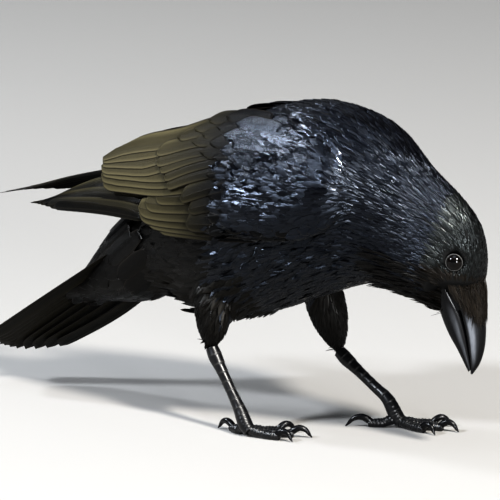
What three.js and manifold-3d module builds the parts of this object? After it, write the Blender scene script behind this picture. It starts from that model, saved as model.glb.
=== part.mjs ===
// A carrion crow at life size, standing and bending its head down to look at the ground.
// Millimetres. X runs forward, Y to the bird's left, Z up from the floor.
import * as THREE from "three";
import { mergeVertices } from "three/addons/utils/BufferGeometryUtils.js";
import Module from "manifold-3d";

// ---- driving dimensions -------------------------------------------------------------------
const GAP = 0.3; // clearance left between touching pieces
const TURN = THREE.MathUtils.degToRad(17); // the head is turned this far to the left
const TURN_X = 163; // the head turns about an upright line here
const EYE_R = 6.2; // eyeball
const EYE_X = 167.5;
const EYE_Y = 14.6; // eyeball centre, out from the middle of the head
const EYE_Z = 129.6;
const TARSUS_R = 3.5; // shank at its thinnest
const TOE_R = 3; // front toes at the root
const TAIL_LENGTH = 163;
const TAIL_DROP = THREE.MathUtils.degToRad(34.5); // tail below level
const TAIL_ROLL = THREE.MathUtils.degToRad(26); // its right edge is lifted
const TAIL_SPREAD = 58; // width at the end
const RECTRICES = 12;
// How far each visible secondary reaches along the folded wing, from the lowest; the tertials end it
const SECONDARIES = [0.7, 0.725, 0.865, 0.868, 0.876, 0.89, 0.887, 0.87];
const PRIMARIES = 5;
const BLADE = 1.3; // thickness of a flight feather blade in the solid

// Body outline: [back x, back z, belly x, belly z, half width, share of height of widest part]
const BODY = [
  [-129, 85, -120, 69, 8, 0.5], // tail coverts end
  [-110, 118, -98, 71, 16, 0.5],
  [-84, 140, -79, 78, 22.5, 0.5],
  [-57, 166, -57, 78, 31, 0.48],
  [-30, 186, -32, 71, 38, 0.46],
  [-3, 202, -8, 69, 44, 0.46],
  [24, 213.5, 17, 75, 48, 0.47], // hips
  [51, 220.5, 42, 84.5, 50.5, 0.5],
  [76, 219.5, 64, 93, 50.5, 0.52], // shoulders
  [96, 214.5, 85, 101, 47.5, 0.54],
  [113.5, 206.5, 102, 105.5, 41.5, 0.55],
  [128, 197.5, 115, 105, 35.5, 0.55],
  [141, 188, 126, 103, 30, 0.55], // nape
  [153, 179.5, 135, 101, 25.5, 0.56],
  [164.5, 170.5, 141.5, 98.5, 22, 0.57],
  [173.5, 161, 146, 96, 19.8, 0.58],
  [180, 150.5, 149.5, 94, 18.5, 0.58], // crown
  [183.3, 138, 151.5, 92.8, 17.6, 0.58],
  [184, 125, 153, 92, 16, 0.56],
  [182.6, 112.5, 154.5, 91.6, 13.2, 0.54], // forehead
  [180.2, 99.5, 156.5, 91.4, 9.2, 0.52], // bristles over the bill
];
const NECK_AT = 10.6; // stations where the pieces part
const HEAD_AT = 14.4;
const TURN_FROM = 9; // the turn grows between these two stations
const TURN_TO = 15;

// Bill outline, from inside the head to the tip: [upper x, upper z, lower x, lower z, half width]
const BILL_UPPER = [
  [179.5, 109, 162.5, 107.5, 6.1],
  [182.6, 97, 167.8, 96, 5.9],
  [183.7, 84, 171, 83.4, 5.2],
  [182.9, 72, 172.8, 72, 4],
  [179.9, 61.8, 173.9, 62, 2.5],
  [175, 54.4, 173.8, 54.6, 0.7],
];
const BILL_LOWER = [
  [162, 106.5, 153.5, 103, 5.6],
  [167.3, 95.6, 156.3, 92, 5.5],
  [170.5, 83, 160.2, 80, 4.7],
  [172.3, 71.6, 165.6, 69.4, 3.4],
  [173.2, 60.4, 171.2, 59, 1.3],
];

// Folded wing edges, the same for both sides, y out from the middle: upper and lower
const WING_UPPER = [
  [112, 36, 176], [100, 36, 194], [82, 32, 206], [55, 26, 212], [22, 19, 212.5],
  [-14, 13, 207], [-46, 9, 195.5], [-76, 7, 186], [-104, 6, 173], [-122, 6, 161],
];
const WING_LOWER = [
  [112, 37, 165], [100, 46, 149], [82, 53, 139], [55, 55, 134], [22, 53.5, 132],
  [-14, 50, 130], [-46, 44, 130], [-76, 37, 134], [-104, 29, 139], [-122, 24, 142],
];
const WING_BULGE = 10; // how far the folded wing arches out between its edges
const COVERTS_TO = 0.735; // share of the wing's length the coverts reach
// Primaries beyond: the right wing hangs a little, the left one reaches further back
const TIP = {
  right: {
    upper: [
      [-60, 28, 166], [-84, 23, 161], [-110, 15, 155],
      [-142, 5, 143], [-170, -2, 130.5], [-188, -5.5, 125.5],
    ],
    lower: [
      [-60, 36.5, 132], [-84, 31, 132.5], [-110, 24, 131],
      [-142, 14, 127.5], [-170, 4, 124], [-188, -1.5, 121],
    ],
  },
  left: {
    upper: [
      [-60, 27, 167], [-84, 20, 161], [-115, 11, 157],
      [-152, 5, 148], [-182, 0, 138], [-208, -5.5, 131],
    ],
    lower: [
      [-60, 36, 134], [-84, 31, 141], [-115, 25, 142],
      [-152, 17, 138], [-182, 8, 132], [-208, -1.5, 126.5],
    ],
  },
};

// Legs: knee inside the body, hock, and the joint over the toes; then the foot
const LEGS = {
  right: {
    knee: [-8, -26, 98], hock: [-8.5, -30, 53.5], ankle: [17, -32, 14.5], pad: [22.5, -33],
    toes: { hind: [166, 15, 14], inner: [54, 21, 10], middle: [29, 28, 12], outer: [5, 22, 10] },
  },
  left: {
    knee: [31, 32, 98], hock: [39, 46, 44], ankle: [79, 46, 17], pad: [86, 47],
    toes: { hind: [212, 19, 15], inner: [-10, 21, 10], middle: [15, 28, 11], outer: [41, 22, 10] },
  },
};

// ---- materials ----------------------------------------------------------------------------
const paint = (color, roughness, metalness = 0) =>
  () => new THREE.MeshStandardMaterial({ color, roughness, metalness });
const plumage = paint(0x101116, 0.55);
const quills = paint(0x231f1a, 0.6);
const horn = paint(0x17171a, 0.35);
const scutes = paint(0x141315, 0.45);
const eyes = paint(0x1c0f08, 0.08);

// ---- shape helpers ------------------------------------------------------------------------
const V = (x, y, z) => new THREE.Vector3(x, y, z);
const clamp = THREE.MathUtils.clamp;
const lerp = THREE.MathUtils.lerp;
const smooth = THREE.MathUtils.smoothstep;

// A smooth reading of any column of a table, at a fractional row.
function column(table, k) {
  const line = new THREE.SplineCurve(table.map((row, i) => new THREE.Vector2(i, row[k])));
  const last = table.length - 1;
  return (row) => line.getPoint(clamp(row / last, 0, 1)).y;
}

// A smooth curve through edge points, on one side of the bird (side is -1 right, 1 left).
function edge(points, side = 1) {
  const line = new THREE.CatmullRomCurve3(points.map((p) => V(p[0], side * p[1], p[2])));
  return (s) => line.getPoint(clamp(s, 0, 1));
}

// Drops normals and texture coordinates and joins the corners that coincide.
function welded(geometry) {
  geometry.deleteAttribute("normal");
  geometry.deleteAttribute("uv");
  return mergeVertices(geometry, 1e-4);
}

// A closed body through cross sections. section(s) gives the middle c, the half axes x, up and
// down, and the corner power n. A positive grow makes the same body larger all over.
function swept(section, around, along, grow = 0, flatDown = false) {
  const first = flatDown ? Math.PI / around : 0;
  const shape = new THREE.CylinderGeometry(1, 1, 1, around, along, false, first);
  const at = shape.attributes.position;
  for (let i = 0; i < at.count; i += 1) {
    const s = 0.5 - at.getY(i);
    const r = Math.hypot(at.getX(i), at.getZ(i));
    const a = Math.atan2(at.getZ(i), at.getX(i));
    const cut = section(s);
    const n = cut.n ?? 2;
    const cx = Math.sign(Math.cos(a)) * Math.abs(Math.cos(a)) ** (2 / n);
    const cz = Math.abs(Math.sin(a)) ** (2 / n);
    const rise = Math.sin(a) > 0 ? cut.up : cut.down;
    const p = cut.c.clone();
    const wide = cut.x.clone().setLength(cut.x.length() + grow);
    p.addScaledVector(wide, r * cx);
    p.addScaledVector(rise.clone().setLength(rise.length() + grow), r * cz);
    if (grow && (s < 1e-6 || s > 1 - 1e-6)) {
      const out = cut.x.clone().cross(cut.up).normalize();
      p.addScaledVector(out, s < 0.5 ? -grow : grow);
    }
    if (cut.floor !== undefined) {
      p.z = Math.max(p.z, cut.floor);
    }
    at.setXYZ(i, p.x, p.y, p.z);
  }
  return welded(shape);
}

// A closed sheet. at(s, t, top) gives the point at share s along, step t across, above or below.
function sheet(at, along, across) {
  const shape = new THREE.BoxGeometry(1, 1, 1, across, 1, along);
  const put = shape.attributes.position;
  for (let i = 0; i < put.count; i += 1) {
    const t = Math.round((put.getX(i) + 0.5) * across);
    const p = at(0.5 - put.getZ(i), t, put.getY(i) > 0);
    put.setXYZ(i, p.x, p.y, p.z);
  }
  return welded(shape);
}

const wasm = await Module();
wasm.setup();

function solid(geometry) {
  const index = new Uint32Array(geometry.index.array);
  const points = new Float32Array(geometry.attributes.position.array);
  const made = new wasm.Manifold(new wasm.Mesh({ numProp: 3, vertProperties: points, triVerts: index }));
  if (made.volume() > 0) {
    return made;
  }
  const turned = index.slice();
  for (let i = 0; i < turned.length; i += 3) {
    [turned[i], turned[i + 1]] = [index[i + 1], index[i]];
  }
  return new wasm.Manifold(new wasm.Mesh({ numProp: 3, vertProperties: points, triVerts: turned }));
}

function geometryOf(body) {
  const mesh = body.getMesh();
  const shape = new THREE.BufferGeometry();
  const points = new Float32Array((mesh.vertProperties.length / mesh.numProp) * 3);
  for (let i = 0; i < points.length; i += 1) {
    points[i] = mesh.vertProperties[Math.floor(i / 3) * mesh.numProp + (i % 3)];
  }
  shape.setAttribute("position", new THREE.BufferAttribute(points, 3));
  shape.setIndex(new THREE.BufferAttribute(new Uint32Array(mesh.triVerts), 1));
  return shape;
}

const bird = new THREE.Group();
bird.name = "carrion_crow";

function add(name, body, material) {
  const shape = geometryOf(body);
  shape.computeVertexNormals();
  const mesh = new THREE.Mesh(shape, material());
  mesh.name = name;
  bird.add(mesh);
}

// ---- trunk, neck and head -----------------------------------------------------------------
const body = [0, 1, 2, 3, 4, 5].map((k) => column(BODY, k));

// Turns a point of the head and neck to the left about the upright line, by a share.
function turned(p, share) {
  const a = TURN * share;
  const x = p.x - TURN_X;
  return V(TURN_X + x * Math.cos(a) - p.y * Math.sin(a), x * Math.sin(a) + p.y * Math.cos(a), p.z);
}

function bodySection(row) {
  const back = V(body[0](row), 0, body[1](row));
  const belly = V(body[2](row), 0, body[3](row));
  const share = smooth(row, TURN_FROM, TURN_TO);
  const middle = belly.clone().lerp(back, body[5](row));
  const c = turned(middle, share);
  const x = V(-Math.sin(TURN * share), Math.cos(TURN * share), 0).multiplyScalar(body[4](row));
  return { c, x, up: turned(back, share).sub(c), down: turned(belly, share).sub(c), n: 2.06 };
}

// One stretch of the body between two rows of the outline, its ends drawn in by half the gap.
function bodyPiece(from, to, along, grow = 0, around = 30) {
  const inset = (s) => (s < 1e-6 && from > 0 ? 1 : s > 1 - 1e-6 && to < BODY.length - 1 ? -1 : 0);
  const section = (s) => {
    const cut = bodySection(lerp(from, to, s));
    const out = cut.x.clone().cross(cut.up).normalize();
    cut.c.addScaledVector(out, inset(s) * GAP * 0.6);
    return cut;
  };
  return solid(swept(section, around, along, grow));
}

const headTurned = (x, y, z) => turned(V(x, y, z), 1);

function billPiece(table, side, grow = 0) {
  const get = [0, 1, 2, 3, 4].map((k) => column(table, k));
  const last = table.length - 1;
  const section = (s) => {
    const row = s * last;
    const top = V(get[0](row), 0, get[1](row));
    const low = V(get[2](row), 0, get[3](row));
    const share = side > 0 ? 0.28 : 0.6;
    const c = low.clone().lerp(top, share);
    const across = turned(V(TURN_X, get[4](row), 0), 1).sub(turned(V(TURN_X, 0, 0), 1));
    const middle = turned(c, 1);
    return { c: middle, x: across, up: turned(top, 1).sub(middle), down: turned(low, 1).sub(middle), n: 2.1 };
  };
  return solid(swept(section, 10, last + 2, grow));
}

function ball(r, x, y, z) {
  const shape = new THREE.SphereGeometry(r, 12, 8);
  const p = headTurned(x, y, z);
  shape.translate(p.x, p.y, p.z);
  return solid(welded(shape));
}

const billUpper = billPiece(BILL_UPPER, 1);
const billLower = billPiece(BILL_LOWER, -1);
let head = bodyPiece(HEAD_AT, BODY.length - 1, 7, 0, 26);
head = head.subtract(billPiece(BILL_UPPER, 1, GAP)).subtract(billPiece(BILL_LOWER, -1, GAP));
for (const side of [-1, 1]) {
  head = head.subtract(ball(EYE_R + GAP, EYE_X, side * EYE_Y, EYE_Z));
  add(side < 0 ? "eye_right" : "eye_left", ball(EYE_R, EYE_X, side * EYE_Y, EYE_Z), eyes);
}
const trunk = bodyPiece(0, NECK_AT, 16);
const trunkRoom = bodyPiece(0, NECK_AT, 16, GAP);
const neckRoom = bodyPiece(NECK_AT, HEAD_AT, 5, GAP);
add("trunk", trunk, plumage);
add("neck", bodyPiece(NECK_AT, HEAD_AT, 5), plumage);
add("head", head, plumage);
add("bill_upper", billUpper, horn);
add("bill_lower", billLower, horn);

// ---- wings --------------------------------------------------------------------------------
// A folded wing is a sheet arched between its upper and lower edge; h is the height off it.
function wingSurface(upper, lower, bulge, side) {
  const top = edge(upper, side);
  const low = edge(lower, side);
  return (s, v, h) => {
    const a = low(s);
    const b = top(s);
    const along = top(s + 0.01).add(low(s + 0.01)).sub(top(s - 0.01)).sub(low(s - 0.01));
    const out = b.clone().sub(a).cross(along).normalize().multiplyScalar(-side);
    const p = a.clone().lerp(b, v);
    const arch = bulge * (0.2 + 0.8 * smooth(s, -0.02, 0.16)) * (1 - (2 * v - 1) ** 2);
    return p.addScaledVector(out, arch + h);
  };
}

// Feather ends along the rear edge: the middle of each blade reaches further than its sides.
const scallop = (t, depth) => (t % 3 === 1 ? 0 : -depth);

for (const side of [-1, 1]) {
  const name = side < 0 ? "right" : "left";
  const wing = wingSurface(WING_UPPER, WING_LOWER, WING_BULGE, side);
  // The coverts: thick at the shoulder, drawn to an edge above, below and behind.
  const rows = 9;
  const covertPoint = (s, t, isTop) => {
    const v = t / rows;
    const rim = Math.sqrt(Math.max(0, 1 - (2 * v - 1) ** 4)) * Math.sqrt(smooth(s, -0.02, 0.12));
    const reach = COVERTS_TO - 0.05 * v - (t % 2 ? 0 : 0.014);
    const h = isTop ? 0.4 + 2 * rim : -0.4 - lerp(0.6, 12, rim) * (1 - smooth(s, 0.35, 0.58));
    return wing(lerp(0, reach, s), v, h);
  };
  let coverts = solid(sheet(covertPoint, 9, rows));
  coverts = coverts.subtract(trunkRoom).subtract(neckRoom);
  add(`wing_coverts_${name}`, coverts, plumage);

  // The secondaries and tertials: overlapping blades, the uppermost one the shortest reach down.
  const across = SECONDARIES.length * 3 - 1;
  const secondaryPoint = (s, t, isTop) => {
    const blade = Math.floor(t / 3);
    const share = blade / (SECONDARIES.length - 1);
    const reach = SECONDARIES[blade] + scallop(t, 0.02) * smooth(s, 0.7, 1);
    const v = (t + (t % 3 === 2 ? 0.8 : t % 3 === 0 ? -0.1 : 0.35)) / (across + 0.9);
    const shut = lerp(0.04, 0.02, share);
    const h = -1.2 - 0.6 * (t % 3 === 2 ? 1 : 0) - (isTop ? 0 : BLADE);
    return wing(lerp(0.46, reach, s), clamp(lerp(v, 0.5, shut), 0, 1), h);
  };
  let secondaries = solid(sheet(secondaryPoint, 4, across));
  secondaries = secondaries.subtract(trunkRoom);
  add(`secondaries_${name}`, secondaries, quills);

  // The primaries: a narrow stack of blades under the secondaries, out to the wing tip.
  const blades = PRIMARIES * 3 - 1;
  const tip = wingSurface(TIP[name].upper, TIP[name].lower, 2.5, side);
  const primaryPoint = (s, t, isTop) => {
    const blade = Math.floor(t / 3);
    const share = blade / (PRIMARIES - 1);
    const reach = lerp(0.7, 1, share) + scallop(t, 0.02) * smooth(s, 0.7, 1);
    const h = -0.4 * (t % 3 === 2 ? 1 : 0) - 1.2 * share - (isTop ? 0 : BLADE);
    return tip(lerp(0, reach, s), t / blades, h);
  };
  add(`primaries_${name}`, solid(sheet(primaryPoint, 4, blades)), quills);
}

// ---- tail ---------------------------------------------------------------------------------
const tailRoot = V(-70, 0, 118);
const tailAlong = V(-Math.cos(TAIL_DROP), 0, -Math.sin(TAIL_DROP));
const tailFlat = V(-Math.sin(TAIL_DROP), 0, Math.cos(TAIL_DROP));
const tailAcross = V(0, Math.cos(TAIL_ROLL), 0).addScaledVector(tailFlat, -Math.sin(TAIL_ROLL));
const tailUp = tailFlat.clone().multiplyScalar(Math.cos(TAIL_ROLL));
tailUp.y = Math.sin(TAIL_ROLL);
const tailSteps = RECTRICES * 3 - 1;

function tailPoint(s, t, isTop) {
  const blade = Math.floor(t / 3);
  const off = blade - (RECTRICES - 1) / 2;
  const outer = Math.abs(off) / (RECTRICES / 2);
  const width = lerp(30, TAIL_SPREAD, s ** 0.6) / RECTRICES;
  const x = (off + ((t % 3) - 1) * 0.49) * width;
  const reach = TAIL_LENGTH * (1 - (off > 0 ? 0.17 : 0.06) * outer ** 2) + scallop(t, 4) * smooth(s, 0.8, 1);
  const hang = off > 0 ? 15 * outer ** 2 * Math.sin(Math.PI * s ** 0.7) : 0; // its left half hangs
  const lift = -2.6 * outer - 3 * outer ** 2 * s - hang;
  const p = tailRoot.clone().addScaledVector(tailAlong, s * reach).addScaledVector(tailAcross, x);
  return p.addScaledVector(tailUp, lift + (isTop ? BLADE / 2 : -BLADE / 2));
}
add("tail", solid(sheet(tailPoint, 4, tailSteps)).subtract(trunkRoom), quills);

// ---- legs ---------------------------------------------------------------------------------
// A limb along a smooth line, its radius read from a list of even steps; nothing of it goes
// below floor.
function limb(points, radii, { floor, around = 10, along = 8, grow = 0 } = {}) {
  const line = new THREE.CatmullRomCurve3(points);
  const radius = column(radii.map((r) => [r]), 0);
  const section = (s) => {
    const u = clamp(s, 0.001, 0.999);
    const run = line.getTangentAt(u);
    const x = V(0, 0, 1).cross(run);
    if (x.length() < 0.2) {
      x.set(0, 1, 0);
    }
    x.normalize();
    const up = run.clone().cross(x).normalize();
    const r = radius(s * (radii.length - 1));
    const c = line.getPointAt(u);
    x.multiplyScalar(r);
    return { c, x, up: up.clone().multiplyScalar(r), down: up.clone().multiplyScalar(-r), floor };
  };
  return solid(swept(section, around, along, grow, floor !== undefined));
}

for (const [name, leg] of Object.entries(LEGS)) {
  const knee = V(...leg.knee);
  const hock = V(...leg.hock);
  const ankle = V(...leg.ankle);
  const pad = V(leg.pad[0], leg.pad[1], 0);
  const thighLine = [knee, knee.clone().lerp(hock, 0.5), hock.clone().lerp(knee, 0.06)];
  const thigh = limb(thighLine, [13, 14, 14, 12.5, 9.5, 5], { along: 6, around: 12 });
  const shankLine = [
    hock.clone().lerp(knee, 0.02),
    hock.clone().lerp(ankle, 0.12),
    hock.clone().lerp(ankle, 0.5),
    ankle.clone().lerp(hock, 0.1),
    V(pad.x - 2.5, lerp(ankle.y, pad.y, 0.6), 6.5),
    V(pad.x + 2.2, pad.y, 3.4),
  ];
  const shankRadii = [4.2, 4.9, 4.1, TARSUS_R, TARSUS_R, 3.6, 4.2, 5, 5.2, 4.4];
  const shank = (grow) => limb(shankLine, shankRadii, { floor: 0.6 - grow, around: 8, along: 12, grow });
  add(`thigh_${name}`, thigh.subtract(trunkRoom).subtract(shank(GAP)), plumage);
  add(`tarsus_${name}`, shank(0), scutes);
  let taken = shank(GAP);
  for (const [toe, [heading, length, claw]] of Object.entries(leg.toes)) {
    const a = THREE.MathUtils.degToRad(heading);
    const ahead = V(Math.cos(a), Math.sin(a), 0);
    const root = pad.clone().addScaledVector(ahead, toe === "hind" ? 1 : 2.5);
    const r = toe === "hind" ? TOE_R * 1.05 : TOE_R;
    const h = r * 0.8; // the sole is pressed flat
    const rise = toe === "hind" ? 3.4 : 1.6;
    const line = [0, 0.25, 0.5, 0.75, 1].map((s) =>
      root.clone().addScaledVector(ahead, s * length).setZ(h + rise * (1 - smooth(s, 0, 0.6))));
    const pads = [r, r * 1.08, r * 0.94, r * 1.02, r * 0.9, r * 0.8];
    const digit = (grow) => limb(line, pads, { floor: -grow, around: 8, along: 5, grow });
    const end = line[4];
    const clawLine = [
      end.clone().addScaledVector(ahead, -3).setZ(h + 0.4),
      end.clone().addScaledVector(ahead, claw * 0.3).setZ(h + 3.4),
      end.clone().addScaledVector(ahead, claw * 0.66).setZ(h + 1.8),
      end.clone().addScaledVector(ahead, claw * 0.84).setZ(0.5),
      end.clone().addScaledVector(ahead, claw).setZ(0.3),
    ];
    const nailRadii = [1.9, 2.1, 1.9, 1.6, 1.25, 1, 0.5];
    const nail = (grow) => limb(clawLine, nailRadii, { floor: -grow, around: 6, along: 6, grow });
    let flesh = digit(0).subtract(taken).subtract(nail(GAP));
    add(`toe_${toe}_${name}`, flesh, scutes);
    add(`claw_${toe}_${name}`, nail(0), horn);
    taken = taken.add(digit(GAP));
  }
}

// ---- origin: middle of the bounding box, on the floor -------------------------------------
const box = new THREE.Box3().setFromObject(bird);
const shift = V(-(box.min.x + box.max.x) / 2, -(box.min.y + box.max.y) / 2, -box.min.z);
bird.children.forEach((mesh) => mesh.geometry.translate(shift.x, shift.y, shift.z));

export default bird;
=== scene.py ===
import math

import bmesh
import bpy
import numpy as np
from mathutils import Matrix, Vector
from mathutils.bvhtree import BVHTree


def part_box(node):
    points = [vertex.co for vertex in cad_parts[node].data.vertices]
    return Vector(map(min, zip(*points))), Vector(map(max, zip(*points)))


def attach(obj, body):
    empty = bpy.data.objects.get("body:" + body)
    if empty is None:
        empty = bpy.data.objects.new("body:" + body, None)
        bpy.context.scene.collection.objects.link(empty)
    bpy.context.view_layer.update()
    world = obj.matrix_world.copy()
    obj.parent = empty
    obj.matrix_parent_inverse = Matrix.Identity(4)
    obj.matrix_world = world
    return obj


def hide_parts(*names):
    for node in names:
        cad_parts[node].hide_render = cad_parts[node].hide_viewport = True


# A carrion crow at life size, head turned down to the ground. Lengths are in millimetres in the
# bird's own frame (X forward from the middle of the body, Y to its left, Z up from the floor)
# until a mesh is made, which puts them in metres in the frame of the solids.

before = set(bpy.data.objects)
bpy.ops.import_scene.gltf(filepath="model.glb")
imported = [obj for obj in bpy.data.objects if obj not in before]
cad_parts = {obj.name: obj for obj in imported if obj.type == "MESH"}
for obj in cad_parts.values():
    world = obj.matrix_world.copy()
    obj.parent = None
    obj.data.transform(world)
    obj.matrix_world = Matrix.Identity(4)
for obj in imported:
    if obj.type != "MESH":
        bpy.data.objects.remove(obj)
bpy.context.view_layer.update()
rng = np.random.default_rng(11)

# ---- sizes, the same as the solids' --------------------------------------------------------
TURN = math.radians(17)
TURN_X = 163.0
TURN_FROM, TURN_TO = 9.0, 15.0
EYE_R = 6.2
EYE = (167.5, 14.6, 129.6)

# Body outline: back x, back z, belly x, belly z, half width, height share of the widest part
BODY = np.array([
    [-129, 85, -120, 69, 8, 0.5],
    [-110, 118, -98, 71, 16, 0.5],
    [-84, 140, -79, 78, 22.5, 0.5],
    [-57, 166, -57, 78, 31, 0.48],
    [-30, 186, -32, 71, 38, 0.46],
    [-3, 202, -8, 69, 44, 0.46],
    [24, 213.5, 17, 75, 48, 0.47],
    [51, 220.5, 42, 84.5, 50.5, 0.5],
    [76, 219.5, 64, 93, 50.5, 0.52],
    [96, 214.5, 85, 101, 47.5, 0.54],
    [113.5, 206.5, 102, 105.5, 41.5, 0.55],
    [128, 197.5, 115, 105, 35.5, 0.55],
    [141, 188, 126, 103, 30, 0.55],
    [153, 179.5, 135, 101, 25.5, 0.56],
    [164.5, 170.5, 141.5, 98.5, 22, 0.57],
    [173.5, 161, 146, 96, 19.8, 0.58],
    [180, 150.5, 149.5, 94, 18.5, 0.58],
    [183.3, 138, 151.5, 92.8, 17.6, 0.58],
    [184, 125, 153, 92, 16, 0.56],
    [182.6, 112.5, 154.5, 91.6, 13.2, 0.54],
    [180.2, 99.5, 156.5, 91.4, 9.2, 0.52],
])
# Feathers by body station: length, width, distance apart, height of the tips over the skin
COAT = np.array([
    [24, 10, 3.6, 1.6],
    [26, 10, 3.7, 1.8],
    [28, 10, 3.8, 2.0],
    [28, 10, 3.8, 2.0],
    [25, 9, 3.8, 1.9],
    [23, 8, 3.4, 1.8],
    [21, 6.6, 3.0, 1.7],
    [19, 5.4, 2.6, 1.6],
    [17, 4.4, 2.2, 1.5],
    [15.5, 3.7, 1.95, 1.4],
    [14, 3.2, 1.75, 1.3],
    [12.5, 2.7, 1.55, 1.2],
    [11, 2.3, 1.4, 1.1],
    [9.8, 2.0, 1.26, 1.0],
    [8.6, 1.8, 1.14, 0.95],
    [7.4, 1.6, 1.04, 0.9],
    [6.2, 1.45, 0.95, 0.8],
    [5.2, 1.3, 0.88, 0.7],
    [4.4, 1.15, 0.82, 0.6],
    [3.8, 1.05, 0.76, 0.55],
    [3.4, 0.95, 0.72, 0.5],
])
# Bill outline from inside the head to the tip: upper x, upper z, lower x, lower z, half width
BILL_TOP = np.array([
    [175, 120, 159, 117, 8.4],
    [179.5, 109, 162.5, 107.5, 8.2],
    [182.6, 97, 167.8, 96, 7.0],
    [183.7, 84, 171, 83.4, 5.6],
    [182.9, 72, 172.8, 72, 4.1],
    [179.9, 61.8, 173.9, 62, 2.5],
    [175, 54.4, 173.8, 54.6, 0.7],
])
BILL_BOTTOM = np.array([
    [158.6, 116, 149, 112, 8.0],
    [162.2, 106.7, 151.2, 103, 7.8],
    [167.5, 95.7, 154.0, 92, 6.6],
    [170.7, 83.1, 159.0, 80, 5.0],
    [172.5, 71.7, 165.2, 69.4, 3.5],
    [174.1, 57.4, 172.2, 55.8, 1.0],
])
# Folded wing edges, the same for both wings, y out from the middle
WING_UPPER = np.array([
    [112, 36, 176], [100, 36, 194], [82, 32, 206], [55, 26, 212], [22, 19, 212.5],
    [-14, 13, 207], [-46, 9, 195.5], [-76, 7, 186], [-104, 6, 173], [-122, 6, 161],
], float)
WING_LOWER = np.array([
    [112, 37, 165], [100, 46, 149], [82, 53, 139], [55, 55, 134], [22, 53.5, 132],
    [-14, 50, 130], [-46, 44, 130], [-76, 37, 134], [-104, 29, 139], [-122, 24, 142],
], float)
WING_BULGE = 10.0
# Upper and lower edges of the primaries beyond them
TIP = {
    "right": (
        [[-60, 28, 166], [-84, 23, 161], [-110, 15, 155],
         [-142, 5, 143], [-170, -2, 130.5], [-188, -5.5, 125.5]],
        [[-60, 36.5, 132], [-84, 31, 132.5], [-110, 24, 131],
         [-142, 14, 127.5], [-170, 4, 124], [-188, -1.5, 121]],
    ),
    "left": (
        [[-60, 27, 167], [-84, 20, 161], [-115, 11, 157],
         [-152, 5, 148], [-182, 0, 138], [-208, -5.5, 131]],
        [[-60, 36, 134], [-84, 31, 141], [-115, 25, 142],
         [-152, 17, 138], [-182, 8, 132], [-208, -1.5, 126.5]],
    ),
}
TAIL_LENGTH = 163.0
TAIL_DROP = math.radians(34.5)
TAIL_ROLL = math.radians(26)
TAIL_SPREAD = 58.0
RECTRICES = 12
# Joints of each leg, then heading in degrees, length and claw of each toe
LEGS = {
    "right": {
        "knee": (-8, -26, 98), "hock": (-8.5, -30, 53.5), "ankle": (17, -32, 14.5), "pad": (22.5, -33),
        "toes": {"hind": (166, 15, 14), "inner": (54, 21, 10),
                 "middle": (29, 28, 12), "outer": (5, 22, 10)},
    },
    "left": {
        "knee": (31, 32, 98), "hock": (39, 46, 44), "ankle": (79, 46, 17), "pad": (86, 47),
        "toes": {"hind": (212, 19, 15), "inner": (-10, 21, 10),
                 "middle": (15, 28, 11), "outer": (41, 22, 10)},
    },
}
TOE_R = 3.15  # front toes at the root
BAKE_LEFT = {"right": 0.56, "left": 0.77}  # where each wing's strip starts on the bake map
SIDES = {"right": -1.0, "left": 1.0}


# ---- small sums ----------------------------------------------------------------------------
def unit(v):
    return v / np.maximum(np.linalg.norm(v, axis=-1, keepdims=True), 1e-9)


def lerp(a, b, t):
    return a + (b - a) * t


def ease(x, low, high):
    t = np.clip((np.asarray(x, float) - low) / (high - low), 0, 1)
    return t * t * (3 - 2 * t)


def dot(a, b):
    return (a * b).sum(-1, keepdims=True)


def head_turned(p, share=1.0):
    """Turns points of the head to the left about the upright line through TURN_X."""
    p = np.asarray(p, float)
    a = TURN * np.asarray(share, float)
    x = p[..., 0] - TURN_X
    out = p.copy()
    out[..., 0] = TURN_X + x * np.cos(a) - p[..., 1] * np.sin(a)
    out[..., 1] = x * np.sin(a) + p[..., 1] * np.cos(a)
    return out


eye_low, eye_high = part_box("eye_right")
eye_right = head_turned((EYE[0], -EYE[1], EYE[2]))
SHIFT = eye_right - (np.array(eye_low) + np.array(eye_high)) * 500


def placed(points):
    return (np.asarray(points, float) - SHIFT) / 1000


def column(table, k, rows):
    """A smooth reading of one column of a table at fractional rows."""
    last = len(table) - 1
    t = np.clip(np.asarray(rows, float), 0, last)
    i = np.minimum(t.astype(int), last - 1)
    w = t - i
    line = table[:, k]
    p0, p1, p2, p3 = line[np.maximum(i - 1, 0)], line[i], line[i + 1], line[np.minimum(i + 2, last)]
    v0, v1 = (p2 - p0) / 2, (p3 - p1) / 2
    return (2 * p1 - 2 * p2 + v0 + v1) * w**3 + (-3 * p1 + 3 * p2 - 2 * v0 - v1) * w**2 + v0 * w + p1


def along_line(points, t):
    """Points of the smooth curve through the given ones, at shares t of its spans."""
    pts = np.asarray(points, float)
    pad = np.vstack([2 * pts[0] - pts[1], pts, 2 * pts[-1] - pts[-2]])
    spans = len(pts) - 1
    u = np.clip(np.asarray(t, float), 0, 1) * spans
    i = np.minimum(u.astype(int), spans - 1)
    w = (u - i)[..., None]
    a, b, c, d = pad[i], pad[i + 1], pad[i + 2], pad[i + 3]
    d0 = np.linalg.norm(b - a, axis=-1, keepdims=True) ** 0.5
    d1 = np.linalg.norm(c - b, axis=-1, keepdims=True) ** 0.5
    d2 = np.linalg.norm(d - c, axis=-1, keepdims=True) ** 0.5
    t1 = ((b - a) / d0 - (c - a) / (d0 + d1) + (c - b) / d1) * d1
    t2 = ((c - b) / d1 - (d - b) / (d1 + d2) + (d - c) / d2) * d1
    return b + t1 * w + (-3 * b + 3 * c - 2 * t1 - t2) * w**2 + (2 * b - 2 * c + t1 + t2) * w**3


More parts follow.
